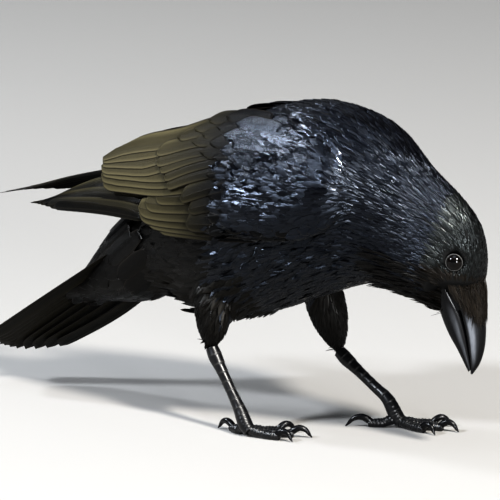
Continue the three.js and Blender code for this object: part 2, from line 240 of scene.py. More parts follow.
def body_section(rows):
    """Middle of the widest part, half-width vector, and vectors up to the back and down."""
    rows = np.asarray(rows, float)
    g = [column(BODY, k, rows) for k in range(6)]
    flat = np.zeros_like(rows)
    back = np.stack([g[0], flat, g[1]], -1)
    belly = np.stack([g[2], flat, g[3]], -1)
    share = ease(rows, TURN_FROM, TURN_TO)
    c = head_turned(lerp(belly, back, g[5][..., None]), share)
    across = np.stack([-np.sin(TURN * share), np.cos(TURN * share), flat], -1) * g[4][..., None]
    return c, across, head_turned(back, share) - c, head_turned(belly, share) - c


def body_point(rows, angle):
    c, across, up, down = body_section(rows)
    cos, sin = np.cos(angle)[..., None], np.sin(angle)[..., None]
    return c + across * cos + np.where(sin > 0, up, -down) * sin


def body_place(points):
    """Fractional body station and angle round it (0 left, a quarter turn up) of each point."""
    rows = np.linspace(0, len(BODY) - 1, 161)
    c, across, up, down = body_section(rows)
    wide = np.linalg.norm(across, axis=-1)
    tall, deep = np.linalg.norm(up, axis=-1), np.linalg.norm(down, axis=-1)
    normal = unit(np.cross(across, up))
    row, angle = np.zeros(len(points)), np.zeros(len(points))
    for start in range(0, len(points), 4000):
        d = points[start : start + 4000, None, :] - c[None]
        off = (d * normal).sum(-1)
        a = (d * (across / wide[:, None])).sum(-1) / wide
        b = (d * (up / tall[:, None])).sum(-1)
        b = np.where(b > 0, b / tall, b / deep)
        cost = off**2 + (0.5 * wide * (np.hypot(a, b) - 1)) ** 2
        best = cost.argmin(1)
        pick = np.arange(len(best))
        row[start : start + 4000] = rows[best]
        angle[start : start + 4000] = np.arctan2(b[pick, best], a[pick, best])
    return row, angle


def wing_surface(upper, lower, bulge, side):
    """The folded wing as a function of share along, share across and height off it."""
    mirror = np.array([1, side, 1])
    top, low = np.asarray(upper, float) * mirror, np.asarray(lower, float) * mirror

    def at(s, v, h):
        s, v, h = np.broadcast_arrays(*[np.asarray(q, float) for q in (s, v, h)])
        a, b = along_line(low, s), along_line(top, s)
        run = along_line(top, s + 0.01) + along_line(low, s + 0.01)
        run = run - along_line(top, s - 0.01) - along_line(low, s - 0.01)
        out = unit(np.cross(b - a, run)) * -side
        arch = bulge * (0.2 + 0.8 * ease(s, -0.02, 0.16)) * (1 - (2 * v - 1) ** 2)
        return a + (b - a) * v[..., None] + out * (arch + h)[..., None]

    return at


WING = {name: wing_surface(WING_UPPER, WING_LOWER, WING_BULGE, side) for name, side in SIDES.items()}
WING_TIP = {name: wing_surface(*TIP[name], 2.5, side) for name, side in SIDES.items()}


# ---- meshes --------------------------------------------------------------------------------
def made(name, points, quads, material, maps=None, fields=None):
    """A mesh object from points in millimetres and four-cornered faces."""
    mesh = bpy.data.meshes.new(name)
    quads = np.asarray(quads, np.int32)
    mesh.vertices.add(len(points))
    mesh.vertices.foreach_set("co", placed(points).astype(np.float32).ravel())
    mesh.loops.add(quads.size)
    mesh.loops.foreach_set("vertex_index", quads.ravel())
    mesh.polygons.add(len(quads))
    mesh.polygons.foreach_set("loop_start", np.arange(0, quads.size, 4, dtype=np.int32))
    mesh.polygons.foreach_set("use_smooth", np.ones(len(quads), bool))
    for key, uv in (maps or {}).items():
        layer = mesh.uv_layers.new(name=key)
        layer.uv.foreach_set("vector", np.asarray(uv, np.float32)[quads.ravel()].ravel())
    for key, values in (fields or {}).items():
        field = mesh.attributes.new(key, "FLOAT", "POINT")
        field.data.foreach_set("value", np.asarray(values, np.float32))
    mesh.update(calc_edges=True)
    mesh.validate()
    mesh.materials.append(material)
    piece = bpy.data.objects.new(name, mesh)
    bpy.context.collection.objects.link(piece)
    return piece


def fitted(piece, slot, *nodes):
    """The piece rides with the bird and stands for the nodes named; its slot is not used."""
    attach(piece, "root")
    if nodes:
        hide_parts(*nodes)
    return piece


def only(piece):
    if bpy.context.object and bpy.context.object.mode != "OBJECT":
        bpy.ops.object.mode_set(mode="OBJECT")
    bpy.ops.object.select_all(action="DESELECT")
    piece.select_set(True)
    bpy.context.view_layer.objects.active = piece


def finish_with(piece, kind, **settings):
    """Adds one modifier and applies it."""
    only(piece)
    modifier = piece.modifiers.new(kind.title(), kind)
    for key, value in settings.items():
        setattr(modifier, key, value)
    bpy.ops.object.modifier_apply(modifier=modifier.name)


def turned_outward(piece):
    only(piece)
    bpy.ops.object.mode_set(mode="EDIT")
    bpy.ops.mesh.select_all(action="SELECT")
    bpy.ops.mesh.normals_make_consistent(inside=False)
    bpy.ops.object.mode_set(mode="OBJECT")


def tube_quads(index):
    """Faces of a closed tube of rings, then of the flat caps at its two ends."""
    sides = index.shape[1]
    nxt = np.roll(index, -1, axis=1)
    quads = np.stack([index[:-1], nxt[:-1], nxt[1:], index[1:]], -1).reshape(-1, 4)
    caps = []
    for ring, turn in ((index[0], False), (index[-1], True)):
        for j in range(sides // 2 - 1):
            quad = [ring[j], ring[j + 1], ring[sides - 2 - j], ring[sides - 1 - j]]
            caps.append(quad if turn else quad[::-1])
    return np.concatenate([quads, np.array(caps)])


def corners_of(mesh):
    co = np.zeros(len(mesh.vertices) * 3, np.float32)
    mesh.vertices.foreach_get("co", co)
    return co.reshape(-1, 3).astype(float) * 1000 + SHIFT


def tree_of(mesh):
    points = corners_of(mesh)
    return BVHTree.FromPolygons(points.tolist(), [tuple(p.vertices) for p in mesh.polygons])


# ---- finishes ------------------------------------------------------------------------------
def group(name, inputs, outputs):
    tree = bpy.data.node_groups.new(name, "ShaderNodeTree")
    for label, kind, value in inputs:
        socket = tree.interface.new_socket(name=label, in_out="INPUT", socket_type="NodeSocket" + kind)
        socket.default_value = value
    for label, kind in outputs:
        tree.interface.new_socket(name=label, in_out="OUTPUT", socket_type="NodeSocket" + kind)
    return tree, tree.nodes.new("NodeGroupInput"), tree.nodes.new("NodeGroupOutput")


def node(tree, kind, **settings):
    made_node = tree.nodes.new("ShaderNode" + kind)
    for key, value in settings.items():
        setattr(made_node, key, value)
    return made_node


def new_material(name):
    material = bpy.data.materials.new(name)
    material.use_nodes = True
    return material, material.node_tree, material.node_tree.nodes["Principled BSDF"]


def set_inputs(thing, values):
    for key, value in values.items():
        thing.inputs[key].default_value = value


def bumped(tree, shader, height, strength, distance):
    bump = node(tree, "Bump")
    set_inputs(bump, {"Strength": strength, "Distance": distance})
    tree.links.new(height, bump.inputs["Height"])
    tree.links.new(bump.outputs["Normal"], shader.inputs["Normal"])


def sum_of(tree, operation, a, b=None, c=None, clamp=False):
    step = node(tree, "Math", operation=operation, use_clamp=clamp)
    for slot_at, value in zip(step.inputs, (a, b, c)):
        if value is None:
            continue
        if isinstance(value, (int, float)):
            slot_at.default_value = value
        else:
            tree.links.new(value, slot_at)
    return step.outputs[0]


def blended(tree, factor, a, b):
    mix = node(tree, "Mix", data_type="RGBA")
    for slot_at, value in ((mix.inputs[0], factor), (mix.inputs[6], a), (mix.inputs[7], b)):
        if isinstance(value, (int, float, tuple)):
            slot_at.default_value = value
        else:
            tree.links.new(value, slot_at)
    return mix.outputs[2]


def noise(tree, where, scale, detail=2.0, roughness=0.5):
    speckle = node(tree, "TexNoise")
    set_inputs(speckle, {"Scale": scale, "Detail": detail, "Roughness": roughness})
    tree.links.new(where, speckle.inputs["Vector"])
    return speckle.outputs["Fac"]


def vane_group():
    """Barbs slanting out from the shaft: their height, and a mask of the shaft."""
    tree, start, end = group(
        "vane barbs",
        [("Barb Pitch", "Float", 0.5), ("Shaft Width", "Float", 0.35)],
        [("Height", "Float"), ("Shaft", "Float")],
    )
    place = node(tree, "UVMap", uv_map="Vane")
    split = node(tree, "SeparateXYZ")
    tree.links.new(place.outputs["UV"], split.inputs[0])
    across = sum_of(tree, "ABSOLUTE", split.outputs[0])
    slant = sum_of(tree, "MULTIPLY_ADD", across, -1.1, split.outputs[1])
    waver = noise(tree, place.outputs["UV"], 1.6)
    slant = sum_of(tree, "MULTIPLY_ADD", waver, 0.12, slant)
    turns = sum_of(tree, "DIVIDE", sum_of(tree, "MULTIPLY", slant, 62.8), start.outputs["Barb Pitch"])
    wave = sum_of(tree, "SINE", turns)
    shaft = sum_of(tree, "DIVIDE", sum_of(tree, "MULTIPLY", across, 10.0), start.outputs["Shaft Width"])
    shaft = sum_of(tree, "SUBTRACT", 1.0, shaft, clamp=True)
    tree.links.new(sum_of(tree, "MULTIPLY_ADD", wave, 0.5, 0.5), end.inputs["Height"])
    tree.links.new(shaft, end.inputs["Shaft"])
    return tree


VANE = vane_group()


def field_value(tree, name):
    return node(tree, "Attribute", attribute_name=name).outputs["Fac"]


def toned(colour, by):
    return tuple(by * c for c in colour[:3]) + (1,)


def feather_finish(name, dark, brown, gloss, dull, tint, pitch, specular, shaft):
    """Feather vanes: near black with gloss where fresh, brown and dull where worn."""
    material, tree, shader = new_material(name)
    vane = node(tree, "Group", node_tree=VANE)
    vane.inputs["Barb Pitch"].default_value = pitch
    shade, worn, edge = (field_value(tree, key) for key in ("Shade", "Worn", "Edge"))
    fresh = blended(tree, shade, toned(dark, 0.55), dark)
    old = blended(tree, shade, toned(brown, 0.5), brown)
    colour = blended(tree, worn, fresh, old)
    streak_place = node(tree, "Mapping")
    streak_place.inputs["Scale"].default_value = (2.0, 11.0, 1.0)
    tree.links.new(node(tree, "UVMap", uv_map="Vane").outputs["UV"], streak_place.inputs["Vector"])
    streak = noise(tree, streak_place.outputs[0], 1.0, 3.0, 0.65)
    streak = sum_of(tree, "MULTIPLY_ADD", streak, 3.2, -1.2, clamp=True)
    streak = sum_of(tree, "MULTIPLY", sum_of(tree, "MULTIPLY", streak, 0.42), worn)
    colour = blended(tree, streak, colour, toned(brown, 0.3))
    pale = sum_of(tree, "SUBTRACT", edge, 0.5, clamp=True)
    pale = sum_of(tree, "MULTIPLY", sum_of(tree, "MULTIPLY", pale, 2.0, clamp=True), worn)
    colour = blended(tree, pale, colour, toned(brown, 1.8))
    barb = sum_of(tree, "MULTIPLY", vane.outputs["Height"], 0.22)
    colour = blended(tree, barb, colour, toned(dark, 0.4))
    colour = blended(tree, sum_of(tree, "MULTIPLY", vane.outputs["Shaft"], 0.6), colour, shaft)
    # Painted shadow: the very margin of each feather turns near black, for the shade where overlapping
    # feathers meet.
    rim = sum_of(tree, "SUBTRACT", sum_of(tree, "MULTIPLY", edge, 9.0), 7.7, clamp=True)
    colour = blended(tree, rim, colour, (0.006, 0.005, 0.004, 1))
    tree.links.new(colour, shader.inputs["Base Color"])
    rough = sum_of(tree, "MULTIPLY_ADD", worn, dull - gloss, gloss)
    rough = sum_of(tree, "MULTIPLY_ADD", sum_of(tree, "SUBTRACT", shade, 0.5), 0.3, rough, clamp=True)
    tree.links.new(rough, shader.inputs["Roughness"])
    set_inputs(shader, {"Specular IOR Level": specular, "Specular Tint": tint})
    height = sum_of(tree, "MULTIPLY_ADD", vane.outputs["Shaft"], 1.5, vane.outputs["Height"])
    bumped(tree, shader, height, 0.35, 0.00012)
    return material


def solid_finish(name, colours, scale, roughness, bump_mm, specular=0.5, stretch=(1, 1, 1),
                 rim_and_highlight_colour=None):
    """A body colour between two tones with fine relief, in the frame of the bird."""
    material, tree, shader = new_material(name)
    place = node(tree, "TexCoord")
    mapping = node(tree, "Mapping")
    mapping.inputs["Scale"].default_value = stretch
    tree.links.new(place.outputs["Object"], mapping.inputs["Vector"])
    spots = noise(tree, mapping.outputs[0], scale, 4.0, 0.6)
    colour = blended(tree, spots, *colours)
    # Where the Edge field is set, the colour turns to the given one: a painted highlight band on the bill,
    # pale free edges on the leg scales.
    if rim_and_highlight_colour:
        rim_and_highlight_share = sum_of(tree, "MULTIPLY", field_value(tree, "Edge"), spots)
        colour = blended(tree, rim_and_highlight_share, colour, rim_and_highlight_colour)
    tree.links.new(colour, shader.inputs["Base Color"])
    rough = sum_of(tree, "MULTIPLY_ADD", spots, roughness[1] - roughness[0], roughness[0])
    tree.links.new(rough, shader.inputs["Roughness"])
    shader.inputs["Specular IOR Level"].default_value = specular
    bumped(tree, shader, noise(tree, mapping.outputs[0], scale * 6, 3), 0.5, bump_mm / 1000)
    return material


PLUMAGE = feather_finish(
    "black body feathers", (0.0008, 0.0009, 0.0014, 1), (0.0035, 0.0028, 0.002, 1), 0.21, 0.42,
    (0.66, 0.78, 1.0, 1), 0.5, 0.19, (0.002, 0.002, 0.003, 1))
UNDERPARTS = feather_finish(
    "brown black underparts", (0.0008, 0.0008, 0.0009, 1), (0.005, 0.0042, 0.0028, 1), 0.3, 0.5,
    (1.0, 0.97, 0.93, 1), 0.5, 0.08, (0.002, 0.002, 0.002, 1))
HEAD_PLUMAGE = feather_finish(
    "black head feathers", (0.0008, 0.0009, 0.001, 1), (0.003, 0.0028, 0.0022, 1), 0.24, 0.42,
    (0.85, 0.95, 0.96, 1), 0.5, 0.24, (0.002, 0.002, 0.002, 1))
GLOSSY = feather_finish(
    "glossy shoulder feathers", (0.0008, 0.0009, 0.0015, 1), (0.034, 0.028, 0.017, 1), 0.16, 0.5,
    (0.7, 0.8, 1.0, 1), 0.62, 1.0, (0.002, 0.002, 0.003, 1))
BRISTLE = feather_finish(
    "brown bristles", (0.0008, 0.0006, 0.0005, 1), (0.014, 0.0105, 0.007, 1), 0.3, 0.45,
    (1.0, 0.95, 0.9, 1), 0.5, 0.12, (0.004, 0.003, 0.002, 1))
QUILLS = feather_finish(
    "worn flight feathers", (0.001, 0.001, 0.0012, 1), (0.032, 0.0272, 0.0138, 1), 0.4, 0.62,
    (0.95, 0.96, 1.0, 1), 0.62, 0.035, (0.01, 0.0085, 0.006, 1))
SKIN = solid_finish(
    "dark skin", ((0.001, 0.001, 0.001, 1), (0.002, 0.002, 0.002, 1)), 900, (0.6, 0.8), 0.1, 0.1)
# The pale grey given to the horn is a painted highlight band along the sides of the bill.
HORN = solid_finish(
    "black horn", ((0.0008, 0.0008, 0.001, 1), (0.0018, 0.0018, 0.002, 1)), 260, (0.22, 0.32), 0.02, 0.13,
    stretch=(1, 1, 0.2), rim_and_highlight_colour=(0.17, 0.18, 0.2, 1))
SCUTES = solid_finish(
    "black leg scales", ((0.0008, 0.0008, 0.001, 1), (0.0025, 0.0025, 0.0028, 1)), 420, (0.24, 0.4),
    0.04, 0.24, rim_and_highlight_colour=(0.03, 0.029, 0.027, 1))


# ---- skin ----------------------------------------------------------------------------------
SWELL = 0.6  # the solids grow by this so that they run together
VOXEL = 0.0022
COVERTS_CUT_X = 14  # behind this the coverts are all feather


def flesh_copy(node_name, swell):
    """A welded copy of one solid, grown a little so that its neighbours run into it."""
    piece = bpy.data.objects.new(node_name + "_flesh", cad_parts[node_name].data.copy())
    bpy.context.collection.objects.link(piece)
    mesh = bmesh.new()
    mesh.from_mesh(piece.data)
    bmesh.ops.remove_doubles(mesh, verts=mesh.verts, dist=1e-6)
    mesh.normal_update()
    for vert in mesh.verts:
        vert.co += vert.normal * swell / 1000
    mesh.to_mesh(piece.data)
    mesh.free()
    return piece


def make_skin():
    pieces = []
    for name in ("trunk", "neck", "head", "thigh_right", "thigh_left", "wing_coverts_right",
                 "wing_coverts_left"):
        piece = flesh_copy(name, SWELL)
        pieces.append(piece)
        if name.startswith("wing"):
            only(piece)
            bpy.ops.object.mode_set(mode="EDIT")
            bpy.ops.mesh.select_all(action="SELECT")
            bpy.ops.mesh.bisect(plane_co=placed((COVERTS_CUT_X, 0, 0)), plane_no=(1, 0, 0),
                                use_fill=True, clear_inner=True)
            bpy.ops.object.mode_set(mode="OBJECT")
    bpy.ops.object.select_all(action="DESELECT")
    for piece in pieces:
        piece.select_set(True)
    bpy.context.view_layer.objects.active = pieces[0]
    bpy.ops.object.join()
    skin = bpy.context.object
    skin.name = skin.data.name = "skin"
    finish_with(skin, "REMESH", mode="VOXEL", voxel_size=VOXEL)
    finish_with(skin, "SMOOTH", factor=0.5, iterations=8)
    skin.data.materials.clear()
    skin.data.materials.append(SKIN)
    skin.data.polygons.foreach_set("use_smooth", np.ones(len(skin.data.polygons), bool))
    return skin


skin = make_skin()
points = corners_of(skin.data)
normals = np.zeros(len(points) * 3, np.float32)
skin.data.vertices.foreach_get("normal", normals)
normals = normals.reshape(-1, 3).astype(float)

# Which solid each point of the skin belongs to, by its place in this list
REGIONS = ["trunk", "neck", "head", "wing_coverts_right", "wing_coverts_left",
           "thigh_right", "thigh_left"]
TRUNK, NECK, HEAD, WING_RIGHT, WING_LEFT, THIGH_RIGHT, THIGH_LEFT = range(len(REGIONS))
reach = np.zeros((len(points), len(REGIONS)))
for k, name in enumerate(REGIONS):
    tree = tree_of(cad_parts[name].data)
    reach[:, k] = [tree.find_nearest(p)[3] for p in points.tolist()]
region = reach.argmin(1)
is_wing = (region == WING_RIGHT) | (region == WING_LEFT)
is_thigh = (region == THIGH_RIGHT) | (region == THIGH_LEFT)

row, angle = body_place(points)
high = np.sin(angle)
flow = unit(body_point(row - 0.15, angle) - body_point(row + 0.15, angle))
tail_along = np.array([-math.cos(TAIL_DROP), 0, -math.sin(TAIL_DROP)])
flow = unit(lerp(flow, tail_along, ease(3.5 - row, 0, 2.5)[:, None] * 0.8))
for k, name in ((WING_RIGHT, "right"), (WING_LEFT, "left")):
    s, v = [g.ravel() for g in np.meshgrid(np.linspace(0.02, 0.6, 30), np.linspace(0, 1, 12))]
    grid = WING[name](s, v, 1.0)
    run = unit(WING[name](s + 0.02, v, 1.0) - WING[name](s - 0.02, v, 1.0))
    mine = np.flatnonzero(region == k)
    near = np.array([((grid - p) ** 2).sum(1).argmin() for p in points[mine]])
    flow[mine] = run[near]
for k, name in ((THIGH_RIGHT, "right"), (THIGH_LEFT, "left")):
    leg = LEGS[name]
    flow[region == k] = unit(np.array(leg["hock"], float) - np.array(leg["knee"]) + (-14, 0, 0))

# Length, width, distance apart and tip height of the feathers, then how worn they are
size = np.stack([column(COAT, k, row) for k in range(4)], -1)
belly = ease(-high, 0.25, 0.75) * ease(row, 1, 3) * (1 - ease(row, 7, 9.5))
size[:, 1] *= 1 - 0.35 * belly
size[:, 2] *= 1 - 0.2 * belly
wing_size = np.array([17.0, 5.6, 2.6, 1.6])
size[is_wing] = wing_size
low_leg = ease(80 - points[is_thigh, 2], 0, 28)[:, None]
size[is_thigh] = lerp(np.array([15.0, 2.4, 1.5, 1.7]), np.array([8.0, 1.6, 1.05, 0.9]), low_leg)
worn = 0.12 + 0.45 * belly + 0.3 * ease(2.5 - row, 0, 2)
worn[is_thigh] = 0.3
depth = np.minimum(size[:, 3], 2.0)

edges = np.zeros(len(skin.data.edges) * 2, np.int32)
skin.data.edges.foreach_get("vertices", edges)
edges = edges.reshape(-1, 2)


def spread(values, times):
    """Each value drawn towards its neighbours' over the skin."""
    count = np.bincount(edges.ravel(), minlength=len(values))[:, None] + 1.0
    for _ in range(times):
        total = values.copy()
        for k in range(values.shape[1]):
            total[:, k] += np.bincount(edges[:, 0], values[edges[:, 1], k], len(values))
            total[:, k] += np.bincount(edges[:, 1], values[edges[:, 0], k], len(values))
        values = total / count
    return values


flow = spread(flow, 14)
flow = unit(flow - normals * dot(flow, normals))
size = spread(size, 10)
worn = spread(worn[:, None], 10)[:, 0]
points = points - normals * (SWELL + depth)[:, None]

# The face narrows to the bill below the line from the gape to the forehead
head_frame = head_turned(points, -1.0)
levels = -BILL_TOP[:, 1]
front = np.interp(-head_frame[:, 2], levels, BILL_TOP[:, 0])
rear = np.interp(-head_frame[:, 2], -BILL_BOTTOM[:, 3], BILL_BOTTOM[:, 2])
half = np.interp(-head_frame[:, 2], levels, BILL_TOP[:, 4])
middle = (front + rear) / 2
reach_out = np.hypot((head_frame[:, 0] - middle) / (front - rear) * 2, head_frame[:, 1] / half)
low_face = ease(117 - head_frame[:, 2], 0, 9) * ease(head_frame[:, 0] - rear, -4, 0) * (region == HEAD)
bare_face = (head_frame[:, 2] < 111.5) & (head_frame[:, 0] > rear + 2.5) & (region == HEAD)
pull = np.where(reach_out > 0.88, 0.88 / np.maximum(reach_out, 0.88), 1)
pull = lerp(1, pull, low_face)
head_frame[:, 0] = middle + (head_frame[:, 0] - middle) * pull
head_frame[:, 1] *= pull
points = np.where(low_face[:, None] > 0, head_turned(head_frame), points)
skin.data.vertices.foreach_set("co", placed(points).astype(np.float32).ravel())
skin.data.update()
fitted(skin, "plumage", *REGIONS)

skin_tree = tree_of(skin.data)
face_corners = [tuple(p.vertices) for p in skin.data.polygons]
face_first = np.array([[c[0], c[1], c[2], c[-1]] for c in face_corners])
face_normal = unit(normals[face_first].mean(1))
face_flow = unit(flow[face_first].mean(1))
face_size = size[face_first].mean(1)
face_worn = worn[face_first].mean(1)
face_row = row[face_first].mean(1)
face_high = high[face_first].mean(1)
face_region = region[face_first[:, 0]]
face_area = np.zeros(len(face_first))
skin.data.polygons.foreach_get("area", face_area)
face_area *= 1e6


# ---- feathers over the skin ----------------------------------------------------------------
def scattered(faces, per_gap=3.0, spacing=1.0):
    """Roots spread evenly over the given faces, no two nearer than their distance apart."""
    gap = face_size[faces, 2] * spacing
    weight = face_area[faces] / gap**2
    tries = int(weight.sum() * per_gap)
    picks = faces[rng.choice(len(faces), tries, p=weight / weight.sum())]
    a, b = rng.random((2, tries, 1))
    four = points[face_first[picks]]
    spots = lerp(lerp(four[:, 0], four[:, 1], a), lerp(four[:, 3], four[:, 2], a), b)
    gaps = face_size[picks, 2] * spacing
    cell = float(gaps.max())
    keys = np.floor(spots / cell).astype(int)
    held, chosen = {}, []
    around = [(i, j, k) for i in (-1, 0, 1) for j in (-1, 0, 1) for k in (-1, 0, 1)]
    spots_list, keys_list = spots.tolist(), keys.tolist()
    for n, (p, key) in enumerate(zip(spots_list, keys_list)):
        limit = gaps[n] ** 2
        free = True
        for i, j, k in around:
            for q in held.get((key[0] + i, key[1] + j, key[2] + k), ()):
                if (p[0] - q[0]) ** 2 + (p[1] - q[1]) ** 2 + (p[2] - q[2]) ** 2 < limit:
                    free = False
                    break
            if not free:
                break
        if free:
            held.setdefault(tuple(key), []).append(p)
            chosen.append(n)
    return spots[chosen], picks[chosen]


def bake_place(spots, faces):
    """Root places on an unwrap of the skin: the body by station and angle, wings and legs beside it."""
    place = np.stack([0.02 + 0.5 * face_row[faces] / 20, np.zeros(len(faces))], -1)
    around = body_place(spots)[1]
    place[:, 1] = 0.02 + 0.96 * (around + math.pi) / (2 * math.pi)
    for k in range(WING_RIGHT, THIGH_LEFT + 1):
        mine = face_region[faces] == k
        left = 0.56 + 0.21 * ((k - WING_RIGHT) % 2)
        foot = 0.04 if k < THIGH_RIGHT else 0.54
        place[mine, 0] = left + 0.19 * np.clip((spots[mine, 0] + 40) / 170, 0, 1)
        if k >= THIGH_RIGHT:
            place[mine, 0] = left + 0.19 * np.clip((spots[mine, 0] + 30) / 100, 0, 1)
        place[mine, 1] = foot + 0.42 * np.clip((spots[mine, 2] - 40) / 190, 0, 1)
    return place


class Style:
    """How one kind of small feather is cut: its stations, widths, columns, ragged end and rise."""

    def __init__(self, shares, widths, columns, ragged, camber, rise):
        self.shares = np.array(shares)
        self.widths = np.array(widths)
        self.columns = np.array(columns)
        self.ragged = np.array(ragged)
        self.camber = camber
        self.rise = rise


LANCE = Style([0, 0.3, 0.6, 0.84, 1], [0.4, 0.9, 1, 0.7, 0.1], [-1, 0, 1], [0, 0, 0], 0.5, 0.8)
SOFT = Style([0, 0.22, 0.45, 0.68, 0.86, 1], [0.4, 0.85, 1, 0.95, 0.75, 0.35], [-1, -0.5, 0, 0.5, 1],
             [-0.3, -0.08, 0, -0.08, -0.3], 0.16, 0.7)


def lay(name, spots, faces, style, material, yaw=8.0, roll=17.0, scale=1.0, grow=None, lift=1.0,
        worn_add=0.0):
    """Lays one feather from each root along the skin, rising from it towards the tip."""
    count = len(spots)
    length = face_size[faces, 0] * scale * rng.uniform(0.85, 1.15, count)
    width = face_size[faces, 1] * rng.uniform(0.85, 1.15, count)
    tip = face_size[faces, 3] * lift * rng.uniform(0.8, 1.15, count)
    if grow is not None:
        length = length * grow
    n = face_normal[faces].copy()
    d = face_flow[faces].copy()
    swing = np.radians(rng.normal(0, yaw, count))[:, None]
    d = unit(d * np.cos(swing) + np.cross(n, d) * np.sin(swing))
    tilt = np.radians(rng.normal(0, roll, count))[:, None]
    at = spots.copy()
    steps = np.diff(style.shares)
    lines, up, ahead = [at.copy()], [n.copy()], [d.copy()]
    for step in steps:
        goal = at + d * (step * length)[:, None]
        hits = [skin_tree.find_nearest(p) for p in goal.tolist()]
        near = np.array([h[0] for h in hits], float)
        face = np.array([h[2] for h in hits])
        far = np.array([h[3] for h in hits])
        snug = (far < 0.18 * length * max(step, 0.15) + 0.6)[:, None]
        new_n = np.where(snug, unit(n + face_normal[face]), n)
        at = np.where(snug, near, goal)
        d = np.where(snug, unit(d * 1.4 + face_flow[face]), d)
        d = unit(d - new_n * dot(d, new_n))
        n = new_n
        lines.append(at.copy())
        up.append(n.copy())
        ahead.append(d.copy())
    piece_worn = np.clip(face_worn[faces] + worn_add + rng.normal(0, 0.06, count), 0, 1)
    return cut_vanes(name, lines, up, ahead, tilt, length, width, tip, style, bake_place(spots, faces),
                     piece_worn, material)


def cut_vanes(name, lines, up, ahead, tilt, length, width, tip, style, root, piece_worn, material):
    """Small feathers along their middle lines, joined as one mesh."""
    count, across, rows_n = len(length), len(style.columns), len(style.shares)
    verts = np.zeros((count, rows_n, across, 3))
    vane = np.zeros((count, rows_n, across, 2))
    edge = np.zeros((count, rows_n, across))
    ragged = style.ragged[None, :] + rng.uniform(-0.08, 0.08, (count, across)) * (across > 3)
    for k, share in enumerate(style.shares):
        side = np.cross(up[k], ahead[k])
        side = side * np.cos(tilt) + up[k] * np.sin(tilt)
        height = -0.35 + (tip + 0.35) * share**style.rise
        w = width / 2 * style.widths[k]
        for j, x in enumerate(style.columns):
            drop = style.camber * w * x * x
            slide = ragged[:, j] * width * (1.0 if k == rows_n - 1 else 0.35 * (k == rows_n - 2))
            verts[:, k, j] = (lines[k] + side * (w * x)[:, None] + up[k] * (height - drop)[:, None]
                              + ahead[k] * slide[:, None])
            vane[:, k, j, 0] = w * x / 10
            vane[:, k, j, 1] = share * length / 10
            edge[:, k, j] = 0.5 * max(abs(x) ** 3 * 0.8, share**8)
    total = rows_n * across
    index = np.arange(total).reshape(rows_n, across)
    quad = np.stack([index[:-1, :-1], index[1:, :-1], index[1:, 1:], index[:-1, 1:]], -1).reshape(-1, 4)
    quads = (quad[None] + (np.arange(count) * total)[:, None, None]).reshape(-1, 4)
    patch_u = style.columns[None, :] / 2 + np.zeros((rows_n, 1))
    patch_v = style.shares[:, None] - 0.5 + np.zeros((1, across))
    patch = root[:, None, None, :] + 0.003 * np.stack([patch_u, patch_v], -1)[None]
    piece = made(
        name, verts.reshape(-1, 3), quads, material,
        {"Vane": vane.reshape(-1, 2), "OFBake": patch.reshape(-1, 2)},
        {"Shade": np.repeat(rng.random(count), total), "Worn": np.repeat(piece_worn, total),
         "Edge": edge.ravel()})
    return fitted(piece, "plumage")


all_faces = np.arange(len(face_first))
eyes_at = np.stack([head_turned((EYE[0], s * EYE[1], EYE[2])) for s in (-1, 1)])
face_mid = points[face_first].mean(1)
near_eye = np.min(np.linalg.norm(face_mid[:, None] - eyes_at[None], axis=-1), axis=1)
head_part = (face_region == HEAD) & (near_eye > 7.0) & ~bare_face[face_first].any(1)
neck_part = face_region == NECK
wing_part = (face_region == WING_RIGHT) | (face_region == WING_LEFT)
hock_level = np.where(face_region == THIGH_RIGHT, LEGS["right"]["hock"][2], LEGS["left"]["hock"][2])
leg_part = ((face_region == THIGH_RIGHT) | (face_region == THIGH_LEFT)) & (face_mid[:, 2] > hock_level + 3.5)
rear_end = ((face_normal @ tail_along > 0.6) & (face_row < 1.2)) | (face_row < 0.35)
trunk_part = (face_region == TRUNK) & ~rear_end

short_by_eye = np.clip((near_eye - 5.0) / 5.0, 0.5, 1)


def coat_of(name, part, style=LANCE, spacing=1.0, grow=None, material=PLUMAGE, **settings):
    spots, faces = scattered(all_faces[part], 3.0, spacing)
    lay(name, spots, faces, style, material, grow=None if grow is None else grow[faces], **settings)


under_throat = (face_high < -0.45) & (face_row > 11.5) & (face_row < 19.4) & (face_region <= HEAD)
under_throat = under_throat & (near_eye > 12) & ~bare_face[face_first].any(1)
under_belly = (face_region == TRUNK) & (face_high < -0.5) & (face_row > 1.2) & (face_row < 6.5)
lores = head_part & (face_mid[:, 2] < 127 - 0.35 * (face_mid[:, 0] - 150)) & (face_mid[:, 0] > 147)
coat_of("head_feathers", head_part & ~lores, grow=short_by_eye, material=HEAD_PLUMAGE, roll=20)
coat_of("lore_feathers", lores, grow=short_by_eye, material=BRISTLE, scale=1.15)
coat_of("neck_feathers", neck_part)
coat_of("breast_feathers", trunk_part & (face_row > 5.5))
coat_of("body_feathers", trunk_part & (face_row <= 5.5), SOFT, yaw=8, roll=8, material=UNDERPARTS)
coat_of("wing_front_feathers", wing_part, SOFT, yaw=6, roll=5)
ruffled = (face_region == TRUNK) & (face_row > 5.5) & (face_row < 10.5)
ruffled = ruffled & (face_high < 0.15) & (face_high > -0.75)
coat_of("breast_tufts", ruffled, spacing=1.7, yaw=24, roll=42, scale=0.6, lift=1.7)
coat_of("thigh_feathers", leg_part, yaw=9, roll=9, material=UNDERPARTS)
coat_of("throat_hackles", under_throat, spacing=1.7, yaw=11, roll=12, scale=1.7, lift=3.0,
        material=UNDERPARTS)
coat_of("belly_tufts", under_belly, spacing=1.5, yaw=20, roll=14, scale=0.75, lift=2.2, worn_add=0.1,
        material=UNDERPARTS)


# ---- flight feathers -----------------------------------------------------------------------
COLUMNS = np.array([-1, -0.9, -0.7, -0.42, -0.16, -0.05, 0.05, 0.16, 0.42, 0.7, 0.9, 1])


